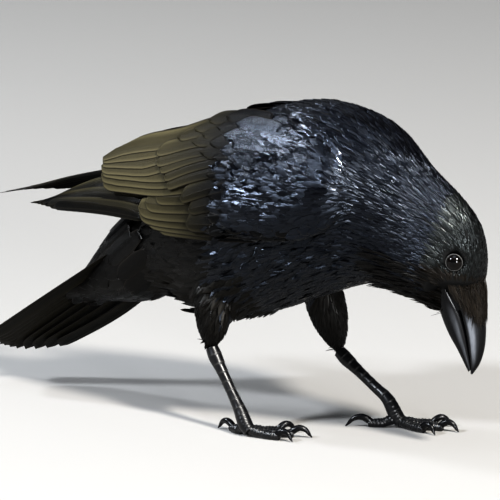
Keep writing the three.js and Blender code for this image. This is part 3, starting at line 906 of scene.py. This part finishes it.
def blades(name, specs, material, slot, nodes):
    """Joined closed blades. Each spec gives at(share, x, h), widths below and above, and more."""
    all_points, all_quads, vane, bake, shade, worn_at, edge = [], [], [], [], [], [], []
    base = 0
    for spec in specs:
        n = spec.get("stations", 22)
        shares = np.linspace(0, 1, n) ** 0.9
        width = np.interp(shares, [0, 0.08, 0.3, 0.7, 1], spec.get("outline", [0.5, 0.8, 1, 1, 1]))
        tip_from = 1 - spec["round"]
        end = np.sqrt(np.clip(1 - np.clip((shares - tip_from) / (1 - tip_from), 0, 1) ** 2.2, 0, 1))
        width = np.maximum(width * end, 0.05)
        s, x = np.meshgrid(shares, COLUMNS, indexing="ij")
        w = np.broadcast_to(width[:, None], s.shape)
        half = np.where(x < 0, spec["low"], spec["high"])
        off = x * w * half
        fray = rng.uniform(-1, 1, len(COLUMNS))[None] * spec.get("fray", 0.0)
        fray = fray + spec.get("fray", 0.0) * 1.4 * x**2
        ridge = spec.get("ridge", 0.05) * (np.abs(x) < 0.06) - 0.5 * spec.get("camber", 1.2) * x**2 * w
        thick = spec.get("thick", 0.45) * (1 - 0.5 * np.abs(x))
        along = s - fray * ease(s, 0.7, 1)
        top = spec["at"](along, off, ridge)
        under = spec["at"](along, off, ridge - thick - 2 * spec.get("ridge", 0.05) * (np.abs(x) < 0.06))
        rows_n, across = s.shape
        index = np.arange(rows_n * across).reshape(rows_n, across)
        upper = np.stack([index[:-1, :-1], index[1:, :-1], index[1:, 1:], index[:-1, 1:]], -1).reshape(-1, 4)
        lower = upper[:, ::-1] + index.size
        ring = np.concatenate([index[0, :], index[1:, -1], index[-1, -2::-1], index[-2:0:-1, 0]])
        after = np.roll(ring, -1)
        rim = np.stack([ring, after, after + index.size, ring + index.size], -1)
        quads = np.concatenate([upper, lower, rim])
        if spec.get("flip"):
            quads = quads[:, ::-1]
        pts = np.concatenate([top.reshape(-1, 3), under.reshape(-1, 3)])
        length = np.linalg.norm(np.diff(top[:, across // 2], axis=0), axis=-1).sum()
        uv = np.stack([off / 10, s * length / 10], -1).reshape(-1, 2)
        patch = np.array(spec["bake"]) + 0.003 * (np.stack([(x + 1) / 2, s], -1).reshape(-1, 2) - 0.5)
        all_points.append(pts)
        all_quads.append(quads + base)
        base += len(pts)
        vane += [uv, uv]
        bake += [patch, patch]
        # Edge rises towards the margins and the tip end: paler worn margins, then at the very edge a painted
        # shadow line.
        to_tip = np.clip(1 - (1 - s) * length / 3.0, 0, 1)
        margin_and_shadow_line = np.maximum(np.abs(x), to_tip).ravel()
        edge += [margin_and_shadow_line, margin_and_shadow_line]
        shade.append(np.full(len(pts), spec.get("shade", 0.5)))
        start, full, span = spec.get("fade", (-2, -1, 1))
        old = spec.get("worn", 1.0) * ease(s * span, start, full)
        old = old * (1 - spec.get("dark_tip", 0) * ease(s, 0.55, 0.95))
        worn_at += [old.ravel(), old.ravel() * spec.get("under", 0.4)]
    piece = made(
        name, np.concatenate(all_points), np.concatenate(all_quads), material,
        {"Vane": np.concatenate(vane), "OFBake": np.concatenate(bake)},
        {"Shade": np.concatenate(shade), "Worn": np.concatenate(worn_at), "Edge": np.concatenate(edge)})
    return fitted(piece, slot, *nodes)


def on_wing(surface, upper, lower, s0, s1, path, h0, h1, cant=0.05, floor_v=-0.03):
    """A blade's place on the folded wing: path gives (share of wing length, share across) of its shaft."""
    path = np.array(path, float)

    def at(share, off, h):
        s = lerp(s0, s1, share)
        tall = np.linalg.norm(along_line(upper, s) - along_line(lower, s), axis=-1)
        v = np.interp(s, path[:, 0], path[:, 1]) + off / tall
        v = np.clip(v, floor_v, 1 - 0.1 * ease(s, 0.8, 0.87))
        return surface(s, v, lerp(h0, h1, share) + h - cant * off)
    return at


# Secondaries from the lowest, then the three tertials: reach along the wing, then the share
# across it of the lower edge at stations of the wing's length
SECONDARIES = [
    (0.66, [(0.3, -0.02), (0.66, -0.03)]),
    (0.697, [(0.3, 0.0), (0.7, -0.005)]),
    (0.724, [(0.3, 0.05), (0.72, 0.02)]),
    (0.726, [(0.3, 0.1), (0.56, 0.08), (0.72, 0.065)]),
    (0.7, [(0.3, 0.17), (0.57, 0.14), (0.7, 0.125)]),
    (0.665, [(0.3, 0.25), (0.6, 0.2), (0.66, 0.195)]),
    (0.864, [(0.4, 0.33), (0.64, 0.27), (0.76, 0.25), (0.83, 0.235), (0.86, 0.26)]),
    (0.87, [(0.4, 0.38), (0.65, 0.325), (0.8, 0.305), (0.87, 0.325)]),
    (0.869, [(0.4, 0.45), (0.64, 0.385), (0.72, 0.375), (0.8, 0.375), (0.87, 0.4)]),
    (0.877, [(0.4, 0.55), (0.657, 0.47), (0.705, 0.43), (0.75, 0.42), (0.84, 0.43), (0.875, 0.46)]),
    (0.879, [(0.4, 0.64), (0.675, 0.545), (0.724, 0.5), (0.78, 0.5), (0.85, 0.525), (0.88, 0.545)]),
    (0.882, [(0.4, 0.7), (0.685, 0.62), (0.76, 0.585), (0.85, 0.59), (0.88, 0.595)]),
    (0.888, [(0.4, 0.76), (0.7, 0.69), (0.81, 0.68), (0.86, 0.65), (0.89, 0.625)]),
]
# Greater coverts from the lowest: reach, share across at the tip and how fast it rises forward
COVERTS = [
    (0.556, 0.02, 0.2), (0.55, 0.125, 0.9), (0.577, 0.2, 1.2), (0.626, 0.3, 1.07), (0.64, 0.37, 1.1),
    (0.66, 0.44, 0.95), (0.68, 0.51, 0.6), (0.695, 0.62, 0.35),
]
# Long scapulars and median coverts, each with a rounded end: reach, share across of the middle
SCAPULARS = [
    (0.47, 0.2, 0.3), (0.5, 0.3, 0.35), (0.48, 0.38, 0.3), (0.51, 0.45, 0.3), (0.485, 0.52, 0.25),
    (0.647, 0.815, 0.9), (0.585, 0.73, 0.4), (0.545, 0.63, 0.25), (0.505, 0.585, 0.2), (0.6, 0.86, 0.55),
    (0.565, 0.79, 0.3), (0.53, 0.71, 0.2), (0.49, 0.65, 0.12), (0.57, 0.92, 0.3), (0.53, 0.84, 0.2),
    (0.5, 0.77, 0.12), (0.465, 0.7, 0.1), (0.46, 0.61, 0.1), (0.52, 0.93, 0.12), (0.48, 0.87, 0.1),
]


SMALL_OUTLINE = [0.4, 0.65, 0.85, 1, 1]  # widths of a covert from its root to its end
WORN_FROM, WORN_FULL = 0.46, 0.74  # shares of the wing's length


def worn_by_place(s0, s1):
    """Where along a blade its brown begins and is full: fresh black forward, worn behind."""
    return (WORN_FROM - s0, WORN_FULL - s0, s1 - s0)


def wing_specs(name):
    specs = []
    for k, (reach_to, edge_line) in enumerate(SECONDARIES):
        last = k == len(SECONDARIES) - 1
        low = 5.5
        path = [(s, v + low / 66) for s, v in edge_line]
        start = 0.36 if k < 6 else 0.42
        h = -3.1 + 0.3 * k
        specs.append({
            "at": on_wing(WING[name], WING_UPPER, WING_LOWER, start, reach_to, path, h - 0.3, h),
            "fade": worn_by_place(start, reach_to),
            "low": low, "high": 13.0 if last else 8.0, "round": 0.055 if k > 5 else 0.09, "worn": 1.0,
            "shade": (0.35, 0.6, 0.45, 0.7, 0.5)[k % 5], "camber": 0.35, "ridge": 0.15,
            "thick": 0.28, "stations": 34,
            "bake": (BAKE_LEFT[name] + 0.1, 0.05 + 0.03 * k), "flip": SIDES[name] < 0,
        })
    return specs


def covert_specs(name):
    specs = []
    for k, (reach_to, v_tip, rise) in enumerate(COVERTS):
        low = 4.8
        path = [(s, v_tip + low / 72 + rise * (reach_to - s) * (1 - 0.9 * (reach_to - s)))
                for s in np.linspace(reach_to - 0.3, reach_to, 9)]
        root = reach_to - 0.27
        h = 0.1 + 0.16 * k
        specs.append({
            "at": on_wing(WING[name], WING_UPPER, WING_LOWER, root, reach_to, path, h - 0.7, h),
            "low": low, "high": 8.5, "round": 0.1, "worn": 0.95, "fade": worn_by_place(root, reach_to),
            "shade": (0.5, 0.7, 0.4, 0.6)[k % 4], "camber": 0.4, "thick": 0.25, "stations": 26,
            "bake": (BAKE_LEFT[name] + 0.13, 0.05 + 0.045 * k), "flip": SIDES[name] < 0,
        })
    for k, (reach_to, v, old) in enumerate(SCAPULARS):
        rise = 0.9 if v < 0.55 else 0.1
        path = [(s, v + rise * (reach_to - s)) for s in np.linspace(reach_to - 0.16, reach_to, 5)]
        h = 1.3 + 0.05 * k
        root = reach_to - 0.13
        forward = reach_to < 0.505
        specs.append({
            "at": on_wing(WING[name], WING_UPPER, WING_LOWER, root, reach_to, path, h - 0.9, h + 0.1, 0.0),
            "low": 5.6, "high": 5.6, "round": 0.36, "ridge": 0.0, "worn": min(1.0, 0.55 + old),
            "outline": SMALL_OUTLINE, "on_shoulder": forward and v > 0.6, "fray": 0.03,
            "fade": worn_by_place(root, reach_to),
            "shade": (0.45, 0.7, 0.6)[k % 3] if forward else (0.5, 0.8, 0.35)[k % 3],
            "camber": 0.35 if forward else 0.9, "thick": 0.25, "stations": 16,
            "bake": (BAKE_LEFT[name] + 0.16, 0.03 + 0.018 * k), "flip": SIDES[name] < 0,
        })
    return specs


def lesser_specs(name):
    """Rows of black coverts over the front of the wing, growing towards the rear."""
    specs = []
    for r in range(11):
        reach_to = 0.13 + 0.037 * r
        half = lerp(3.4, 5.6, r / 10)
        many = round(78 / (half * 1.35))
        for j in range(many + 1):
            v = lerp(0.05, 0.98, (j + 0.5 * (r % 2) + rng.uniform(-0.15, 0.15)) / many)
            long = lerp(0.08, 0.12, r / 10) * rng.uniform(0.9, 1.15)
            end = reach_to + rng.uniform(-0.008, 0.008)
            slope = rng.normal(0.25, 0.22)
            path = [(end - long, v + slope * long), (end, v)]
            h = 0.3 + 0.02 * r + rng.uniform(0, 0.5)
            specs.append({
                "at": on_wing(WING[name], WING_UPPER, WING_LOWER, end - long, end, path, h - 1.5, h,
                              rng.normal(0.03, 0.09), 0.02),
                "low": half, "high": half, "round": 0.42, "worn": 0.8, "fade": worn_by_place(end - long, end),
                "shade": rng.random(), "camber": rng.uniform(0.6, 1.6), "thick": 0.2, "stations": 14,
                "fray": 0.025, "outline": SMALL_OUTLINE, "ridge": 0.0, "flip": SIDES[name] < 0,
                "bake": (BAKE_LEFT[name] + 0.01 + 0.012 * r, 0.04 + 0.42 * min(1.0, v)),
                "kind": "gloss" if r < 5 and v > 0.3 else "lower" if v < 0.5 and r > 4 else "lesser",
            })
    return specs


def primary_specs(name):
    upper, lower = [np.array(q, float) for q in TIP[name]]
    specs = []
    for k in range(7):
        share = k / 6
        v = lerp(0.06, 0.92, share)
        reach_to = lerp(0.7, 1.0, share)
        specs.append({
            "at": on_wing(WING_TIP[name], upper, lower, 0.0, reach_to, [(0, v), (1, v)],
                          -0.28 * k, 0.3 - 0.28 * k, 0.02),
            # Worn alternates from feather to feather: partly a difference in wear, partly painted shade, with
            # the darker feathers standing for the shadow between them.
            "low": 2.8, "high": 5.0, "round": 0.12, "worn": (0.08, 0.4, 0.1, 0.5, 0.12, 0.7, 0.2)[k],
            "shade": (0.1, 0.6, 0.3)[k % 3], "camber": 0.5, "thick": 0.28,
            "bake": (BAKE_LEFT[name] + 0.18, 0.55 + 0.05 * k), "flip": SIDES[name] < 0, "dark_tip": 0.8,
        })
    return specs


for name in ("right", "left"):
    blades("secondary_blades_" + name, wing_specs(name), QUILLS, "quills", ["secondaries_" + name])
    blades("primary_blades_" + name, primary_specs(name), QUILLS, "quills", ["primaries_" + name])
    lesser = lesser_specs(name)
    for kind, material in (("gloss", GLOSSY), ("lesser", PLUMAGE), ("lower", UNDERPARTS)):
        chosen = [q for q in lesser if q["kind"] == kind]
        blades(kind + "_covert_blades_" + name, chosen, material, "plumage", [])
    coverts = covert_specs(name)
    blades("covert_blades_" + name, [q for q in coverts if not q.get("on_shoulder")], QUILLS, "quills", [])
    blades("shoulder_blades_" + name, [q for q in coverts if q.get("on_shoulder")], PLUMAGE, "plumage", [])


# ---- tail ----------------------------------------------------------------------------------
TAIL_ROOT = np.array([-70.0, 0, 118])
tail_flat = np.array([-math.sin(TAIL_DROP), 0, math.cos(TAIL_DROP)])
tail_across = np.array([0, math.cos(TAIL_ROLL), 0]) - math.sin(TAIL_ROLL) * tail_flat
tail_up = tail_flat * math.cos(TAIL_ROLL) + np.array([0, math.sin(TAIL_ROLL), 0])


def rectrix(i):
    off = i - (RECTRICES - 1) / 2
    outer = abs(off) / (RECTRICES / 2)
    reach_to = TAIL_LENGTH * (1 - (0.17 if off > 0 else 0.06) * outer**2)

    def at(share, x, h):
        width = lerp(30, TAIL_SPREAD, share**0.6) / RECTRICES
        hang = 15 * outer**2 * np.sin(math.pi * np.clip(share, 0, 1) ** 0.7) if off > 0 else 0
        lift = -2.9 * outer - 3 * outer**2 * share - hang + h
        run = share * reach_to
        return (TAIL_ROOT + tail_along * run[..., None] + tail_across * (off * width + x)[..., None]
                + tail_up * np.asarray(lift)[..., None])

    inner, outside = 9.5, 2.8  # widths of the two vanes of a feather
    low, high = (inner, outside) if off > 0 else (outside, inner)
    if abs(off) < 1:
        low = high = 8.5
    return {"at": at, "low": low, "high": high, "round": 0.09, "worn": 0.09, "shade": rng.uniform(0.2, 0.7),
            "camber": 0.5, "outline": [0.8, 0.85, 0.9, 1, 1], "bake": (0.04, 0.1 + 0.06 * i),
            "under": 1.0, "thick": 0.3, "ridge": 0.12, "stations": 26, "flip": True}


blades("tail_blades", [rectrix(i) for i in range(RECTRICES)], QUILLS, "quills", ["tail"])


# Distance of the body's end off the tail's plane, below and above, and its half width, by the
# run along the tail from its root
COVER_RUN = [0, 33, 50, 69, 84, 100]
COVER_BELOW = [33, 29, 22.5, 12.5, 6, 3.6]
COVER_ABOVE = [30, 22, 14, 6.2, 2.8, 1.6]
COVER_WIDE = [26, 21, 17.5, 12.5, 15, 17]


def tail_covert(turn, start, long, out, under):
    """A soft feather from the end of the body out over the root of the tail."""
    def at(share, x, h):
        run = start + share * long
        wide = np.interp(run, COVER_RUN, COVER_WIDE)
        off = np.interp(run, COVER_RUN, COVER_BELOW if under else COVER_ABOVE)
        lean = turn + x / np.maximum(wide, off)
        y = (wide + 0.6) * np.sin(lean)
        half = lerp(15, 29, np.clip(run / TAIL_LENGTH, 0, 1) ** 0.6)
        hang = 15 * np.clip(y / half, 0, 1.2) ** 2 * np.sin(math.pi * np.clip(run / TAIL_LENGTH, 0, 1) ** 0.7)
        rise = 2.0 + (off - 2.0 + lerp(-1.5, out, share)) * np.cos(lean) + h
        return (TAIL_ROOT + tail_along * run[..., None] + tail_across * y[..., None]
                + tail_up * ((-rise if under else rise) - hang)[..., None])

    return {"at": at, "low": 7.0, "high": 7.0, "round": 0.4, "worn": 0.14, "shade": rng.random(),
            "camber": 0.8, "outline": [0.5, 0.75, 1, 1, 1],
            "bake": (0.025 + 0.01 * under, 0.1 + 0.8 * (turn / math.pi + 0.5)),
            "under": 1.0, "stations": 18, "flip": not under, "thick": 0.2, "fray": 0.02}


for name, under in (("under_tail_coverts", True), ("upper_tail_coverts", False)):
    specs = []
    for row_at in range(6):
        for i in range(8):
            turn = math.radians(lerp(-84, 84, (i + 0.5 * (row_at % 2)) / 7.5) + rng.uniform(-4, 4))
            long = rng.uniform(34, 42)
            start = lerp(52, 2, row_at / 5) - 4 * abs(turn)
            specs.append(tail_covert(turn, start, long, 1.4 + 0.1 * row_at, under))
    blades(name, specs, UNDERPARTS, "plumage", [])


# ---- bill ----------------------------------------------------------------------------------
BILL_SPLIT = {"upper": 0.28, "lower": 0.6}  # how far up each half its widest part lies


def bill_section(table, rows, share):
    """Middle, top and bottom of a half of the bill, and its half width, at fractional rows."""
    g = [column(table, k, rows) for k in range(5)]
    zero = np.zeros_like(rows)
    top, low = np.stack([g[0], zero, g[1]], -1), np.stack([g[2], zero, g[3]], -1)
    return lerp(low, top, share), top, low, g[4]


def bill_half(name, table, share, sides, material, replaced, highlight_band):
    rows = np.linspace(0, len(table) - 1, 34)
    mid, top, low, wide = bill_section(table, rows, share)
    across = np.array([0.0, 1.0, 0.0])
    a = np.linspace(0, 2 * math.pi, sides, endpoint=False)
    cos, sin = np.cos(a), np.sin(a)
    meets = sin < -0.01 if name.startswith("upper") else sin > 0.01
    x = np.sign(cos) * np.abs(cos) ** np.where(meets, 0.4, 0.95)
    z = np.abs(sin) ** np.where(meets, 0.8, 0.95)
    rise = np.where(sin[None, :, None] > 0, (top - mid)[:, None], (low - mid)[:, None])
    ring = mid[:, None] + across * (wide[:, None] * x[None])[..., None] + rise * z[None, :, None]
    ring = head_turned(ring)
    n = len(rows)
    quads = tube_quads(np.arange(n * sides).reshape(n, sides))
    level_at, rows_at = np.broadcast_to(sin[None], (n, sides)), np.broadcast_to(rows[:, None], (n, sides))
    # Painted highlight: a band along the side of each half, stored in the Edge field, where the horn finish
    # turns pale grey.
    band_level, band_width, band_strength = highlight_band
    painted_highlight = band_strength * np.exp(-(((level_at - band_level) / band_width) ** 2))
    painted_highlight = painted_highlight * ease(rows_at, 1.2, 3.0) * (1 - ease(rows_at, 3.8, 5.6))
    piece = made(name, ring.reshape(-1, 3), quads, material, None, {"Edge": painted_highlight.ravel()})
    turned_outward(piece)
    return fitted(piece, "horn", replaced)


# The last three numbers place each half's painted highlight band: its level round the section, its width and
# its strength.
bill_half("upper_mandible", BILL_TOP, BILL_SPLIT["upper"], 28, HORN, "bill_upper", (0.12, 0.22, 1.0))
bill_half("lower_mandible", BILL_BOTTOM, BILL_SPLIT["lower"], 28, HORN, "bill_lower", (0.16, 0.2, 0.4))


def bristles(count):
    """Stiff hairs lying from the forehead over the nostrils, on both sides of the bill's ridge."""
    climb = rng.uniform(-8, 90, count)
    ends = np.interp(climb, [-10, 0, 20, 45, 60, 90], [1.0, 1.6, 2.3, 2.8, 2.7, 2.35])
    ends = lerp(0.9, ends, rng.uniform(0.1, 1, count) ** 0.6) + rng.normal(0, 0.16, count)
    starts = np.maximum(ends - rng.uniform(0.9, 1.3, count), 0.2)
    drift = rng.normal(-4, 11, count)
    side = np.where(rng.random(count) < 0.5, -1.0, 1.0)

    def on_bill(rows, lift_mm, turn):
        mid, top, low, half_wide = bill_section(BILL_TOP, rows, BILL_SPLIT["upper"])
        zero = np.zeros_like(rows)
        cos, sin = np.cos(turn)[..., None], np.sin(turn)[..., None]
        wide = np.stack([zero, half_wide + lift_mm, zero], -1) * side[:, None]
        tall = np.where(sin > 0, (top - mid), (mid - low))
        tall = tall * (1 + lift_mm[..., None] / np.linalg.norm(tall, axis=-1, keepdims=True))
        return mid + wide * cos + tall * sin, wide * cos + tall * sin

    lines, outs = [], []
    high_tip = rng.uniform(0.25, 1.15, count)
    for share in LANCE.shares:
        rows = lerp(starts, ends, share)
        turn = np.radians(climb + drift * share)
        pile = np.interp(rows, [0.3, 0.9, 1.5, 2.2, 3.1], [6.0, 4.4, 2.6, 1.3, 0.5])
        spot, out = on_bill(rows, high_tip * pile, turn)
        lines.append(head_turned(spot))
        outs.append(out)
    lines = [np.array(line) for line in lines]
    ahead = [unit(np.gradient(np.stack(lines), axis=0)[k]) for k in range(len(lines))]
    pivot = np.array([TURN_X, 0, 0])
    flat_turn = head_turned(np.stack(outs).reshape(-1, 3) + pivot) - pivot
    flat_turn = flat_turn.reshape(len(lines), count, 3)
    up = [unit(flat_turn[k] - ahead[k] * dot(flat_turn[k], ahead[k])) for k in range(len(lines))]
    length = np.linalg.norm(lines[-1] - lines[0], axis=1)
    root = np.stack([0.53 + 0.02 * side, 0.3 + 0.4 * climb / 90], -1)
    width = rng.uniform(0.35, 0.6, count)
    pale = np.where(rng.random(count) < 0.35, 1.0, 0.1)
    cut_vanes("nostril_bristles", lines, up, ahead, np.zeros((count, 1)), length, width,
              np.full(count, 0.1), LANCE, root, pale, BRISTLE)


bristles(2400)


# ---- eyes ----------------------------------------------------------------------------------
def eye_finish():
    material, tree, shader = new_material("dark brown eye")
    off = field_value(tree, "Off")
    ramp = node(tree, "ValToRGB")
    pupil = (0.0008, 0.0008, 0.0008, 1)
    stops = [(0.0, pupil), (0.36, pupil), (0.42, (0.0018, 0.0012, 0.001, 1)),
             (0.8, (0.0014, 0.0011, 0.0009, 1)), (0.95, (0.001, 0.001, 0.001, 1))]
    while len(ramp.color_ramp.elements) < len(stops):
        ramp.color_ramp.elements.new(0.5)
    for element, (at, colour) in zip(ramp.color_ramp.elements, stops):
        element.position, element.color = at, colour
    tree.links.new(off, ramp.inputs[0])
    tree.links.new(ramp.outputs[0], shader.inputs["Base Color"])
    set_inputs(shader, {"Roughness": 0.08, "Specular IOR Level": 0.14})
    return material


IRIS_R = 5.4
LID_R = 5.3
EYE_FINISH = eye_finish()
LID = solid_finish(
    "grey lid", ((0.005, 0.005, 0.0055, 1), (0.026, 0.024, 0.021, 1)), 1400, (0.45, 0.6), 0.1)
for name, side in SIDES.items():
    centre = head_turned((EYE[0], side * EYE[1], EYE[2]))
    out = head_turned((EYE[0] + 1.5, side * (EYE[1] + 10), EYE[2])) - centre
    out = unit(out)
    turn = Vector(out).to_track_quat("Z", "Y").to_matrix().to_4x4()
    stand = Matrix.Translation(placed(centre)) @ turn
    only(skin)
    bpy.ops.object.select_all(action="DESELECT")
    bpy.ops.mesh.primitive_uv_sphere_add(segments=40, ring_count=24, radius=EYE_R / 1000)
    ball = bpy.context.object
    ball.name = ball.data.name = "eyeball_" + name
    ball.data.transform(stand)
    bpy.ops.object.shade_smooth()
    local = corners_of(ball.data) - centre
    off = np.linalg.norm(local - dot(local, out) * out, axis=1) / IRIS_R
    off = np.where((local @ out) > 0, off, 1.0)
    field = ball.data.attributes.new("Off", "FLOAT", "POINT")
    field.data.foreach_set("value", off.astype(np.float32))
    ball.data.materials.append(EYE_FINISH)
    fitted(ball, "eyes", "eye_" + name)
    bpy.ops.object.select_all(action="DESELECT")
    bpy.ops.mesh.primitive_torus_add(
        major_segments=48, minor_segments=10, major_radius=LID_R / 1000, minor_radius=0.0003)
    lid = bpy.context.object
    lid.name = lid.data.name = "lid_" + name
    lid.data.transform(stand @ Matrix.Translation((0, 0, 0.0034)))
    bpy.ops.object.shade_smooth()
    lid.data.materials.append(LID)
    fitted(lid, "plumage")


# ---- legs ----------------------------------------------------------------------------------
def limb(points_on, radii, stations, sides, floor, scale_mm=None, stand=0.0):
    """Rings of a limb along a smooth line, and how near each point is to its scale's free edge."""
    line = along_line(points_on, np.linspace(0, 1, 400))
    gone = np.concatenate([[0], np.cumsum(np.linalg.norm(np.diff(line, axis=0), axis=1))])
    shares = np.asarray(stations)
    want = shares * gone[-1]
    c = np.stack([np.interp(want, gone, line[:, k]) for k in range(3)], -1)
    ahead = np.stack([np.interp(np.clip(want + 0.5, 0, gone[-1]), gone, line[:, k])
                      - np.interp(np.clip(want - 0.5, 0, gone[-1]), gone, line[:, k]) for k in range(3)], -1)
    ahead = unit(ahead)
    side = np.cross([0, 0, 1.0], ahead)
    side = np.where(np.linalg.norm(side, axis=1, keepdims=True) < 0.2, [0, 1.0, 0], side)
    side = unit(side)
    up = unit(np.cross(ahead, side))
    r = column(np.array(radii, float)[:, None], 0, shares * (len(radii) - 1))
    a = np.linspace(0, 2 * math.pi, sides, endpoint=False)
    part = np.zeros_like(want)
    if scale_mm:  # scales shrink from the first size to the second near the foot
        each = lerp(scale_mm[0], scale_mm[1], ease(shares, 0.66, 0.9))
        part = np.cumsum(np.gradient(want) / each) % 1.0
    front = ease(np.sin(a), -0.45, 0.25)
    rad = (r[:, None] + stand * (part**2)[:, None] * front[None])[..., None]
    rim = (part > 0.88)[:, None] * front[None] * 0.7
    ring = c[:, None] + side[:, None] * np.cos(a)[None, :, None] * rad
    ring = ring + up[:, None] * np.sin(a)[None, :, None] * rad
    ring[..., 2] = np.maximum(ring[..., 2], floor)
    return ring, rim


def tube_piece(name, all_rings, material, slot, nodes):
    """Joined closed tubes, with one level of smoothing."""
    pts, quads, rims, base = [], [], [], 0
    for ring, rim in all_rings:
        n, sides = ring.shape[:2]
        quads.append(tube_quads(np.arange(n * sides).reshape(n, sides) + base))
        pts.append(ring.reshape(-1, 3))
        rims.append(rim.ravel())
        base += n * sides
    piece = made(
        name, np.concatenate(pts), np.concatenate(quads), material, None, {"Edge": np.concatenate(rims)})
    turned_outward(piece)
    finish_with(piece, "SUBSURF", levels=1, render_levels=1)
    return fitted(piece, slot, *nodes)


def at_height(p, height):
    return np.array([p[0], p[1], height])


SHANK_RADII = [4.3, 4.7, 4.0, 3.6, 3.5, 3.6, 3.9, 4.5, 4.9, 4.4]
TOE_SHARES = np.array([1, 1.08, 0.94, 1.02, 0.9, 0.8])
CLAW_RADII = [2.1, 2.5, 2.4, 2.1, 1.7, 1.2, 0.4]

for name, leg in LEGS.items():
    knee, hock, ankle = [np.array(leg[k], float) for k in ("knee", "hock", "ankle")]
    pad = np.array([*leg["pad"], 0.0])
    shank_line = [lerp(hock, knee, 0.02)] + [lerp(hock, ankle, t) for t in (0.12, 0.4, 0.7, 0.96)]
    shank_line += [np.array([pad[0] - 1.6, lerp(ankle[1], pad[1], 0.6), 7.5]),
                   np.array([pad[0] + 2.2, pad[1], 3.4])]
    shank = limb(shank_line, SHANK_RADII, np.linspace(0, 1, 130), 16, 0.1, (6.4, 2.3), 0.24)
    tube_piece("shank_" + name, [shank], SCUTES, "scutes", ["tarsus_" + name])
    toes, nails = [], []
    for toe, (heading, length, claw) in leg["toes"].items():
        a = math.radians(heading)
        ahead = np.array([math.cos(a), math.sin(a), 0])
        root = pad + ahead * (1 if toe == "hind" else 2.5)
        r = TOE_R * (1.05 if toe == "hind" else 1)
        h = r * 0.8
        rise = 3.4 if toe == "hind" else 1.6
        line = [root + ahead * s * length + np.array([0, 0, h + rise * (1 - float(ease(s, 0, 0.6)))])
                for s in (0, 0.25, 0.5, 0.75, 1)]
        toes.append(limb(line, r * TOE_SHARES, np.linspace(0, 1, 60), 12, 0.0, (2.3, 2.3), 0.6))
        end = line[4]
        claw_line = [at_height(end - ahead * 3, h + 0.4), at_height(end + ahead * claw * 0.28, h + 4.0),
                     at_height(end + ahead * claw * 0.64, h + 2.9), at_height(end + ahead * claw * 0.88, 2.0),
                     at_height(end + ahead * claw, 0.3)]
        nails.append(limb(claw_line, CLAW_RADII, np.linspace(0, 1, 22), 10, 0.0))
    tube_piece("toes_" + name, toes, SCUTES, "scutes", [f"toe_{t}_{name}" for t in leg["toes"]])
    tube_piece("claws_on_" + name, nails, HORN, "claws", [f"claw_{t}_{name}" for t in leg["toes"]])


# ---- floor, lights and camera --------------------------------------------------------------
bpy.ops.object.select_all(action="DESELECT")
bpy.ops.mesh.primitive_plane_add(size=16, location=(0, 0, 0))
floor = bpy.context.object
floor.name = floor.data.name = "floor"
floor_finish, _, floor_shader = new_material("plain floor")
set_inputs(floor_shader, {"Base Color": (0.177, 0.171, 0.162, 1), "Roughness": 0.9})
floor.data.materials.append(floor_finish)

AZIMUTH, ELEVATION, DISTANCE = math.radians(37), math.radians(11), 4000.0
PICTURE_MM = 500 * 0.65  # width of the view at the bird
SENSOR_MM = 36
LAMP_DISTANCE = 3600
target = np.array([0.0, 0.0, 115.0])
to_camera = np.array([math.sin(AZIMUTH) * math.cos(ELEVATION),
                      -math.cos(AZIMUTH) * math.cos(ELEVATION), math.sin(ELEVATION)])
right = np.array([math.cos(AZIMUTH), math.sin(AZIMUTH), 0])
level = np.array([math.sin(AZIMUTH), -math.cos(AZIMUTH), 0])


def aimed(thing, at):
    thing.location = placed(at)
    thing.rotation_euler = Vector(placed(target) - placed(at)).to_track_quat("-Z", "Y").to_euler()
    bpy.context.collection.objects.link(thing)
    return thing


lens = bpy.data.cameras.new("camera")
lens.sensor_width = SENSOR_MM
lens.lens = SENSOR_MM * DISTANCE / PICTURE_MM
lens.clip_end = 100
camera = aimed(bpy.data.objects.new("camera", lens), target + to_camera * DISTANCE)
bpy.context.scene.camera = camera


def lamp(name, at, size_m, watts, colour):
    light = bpy.data.lights.new(name, "AREA")
    light.shape = "DISK"
    light.size = size_m
    light.energy = watts
    light.color = colour
    return aimed(bpy.data.objects.new(name, light), target + at)


# Each lamp: how far right, towards the camera's side and up it stands, its size, watts and colour
LAMPS = {
    "key": (0.4, 0.66, 0.66, 0.4, 430, (1.0, 0.97, 0.92)),
    "left": (-0.72, -0.34, 0.62, 0.5, 120, (0.86, 0.92, 1.0)),
    "shoulder": (-0.72, 0.36, 0.58, 0.4, 260, (0.86, 0.92, 1.0)),
    "top": (-0.1, 0.35, 0.93, 2.2, 50, (0.8, 0.88, 1.0)),
    "low": (0.35, 0.93, 0.12, 0.5, 160, (0.95, 0.97, 1.0)),
    "rim": (-0.2, -1.0, 1.0, 2.4, 15, (0.9, 0.95, 1.0)),
}
for name, (to_right, to_front, up_by, size_m, watts, colour) in LAMPS.items():
    stands = (right * to_right + level * to_front + np.array([0, 0, up_by])) * LAMP_DISTANCE
    lamp(name, stands, size_m, watts, colour)
world = bpy.data.worlds.new("studio")
world.use_nodes = True
set_inputs(world.node_tree.nodes["Background"], {"Color": (0.72, 0.78, 0.86, 1), "Strength": 0.1})
bpy.context.scene.world = world
view = bpy.context.scene.view_settings
view.view_transform = "Standard"
view.look = "Medium High Contrast"
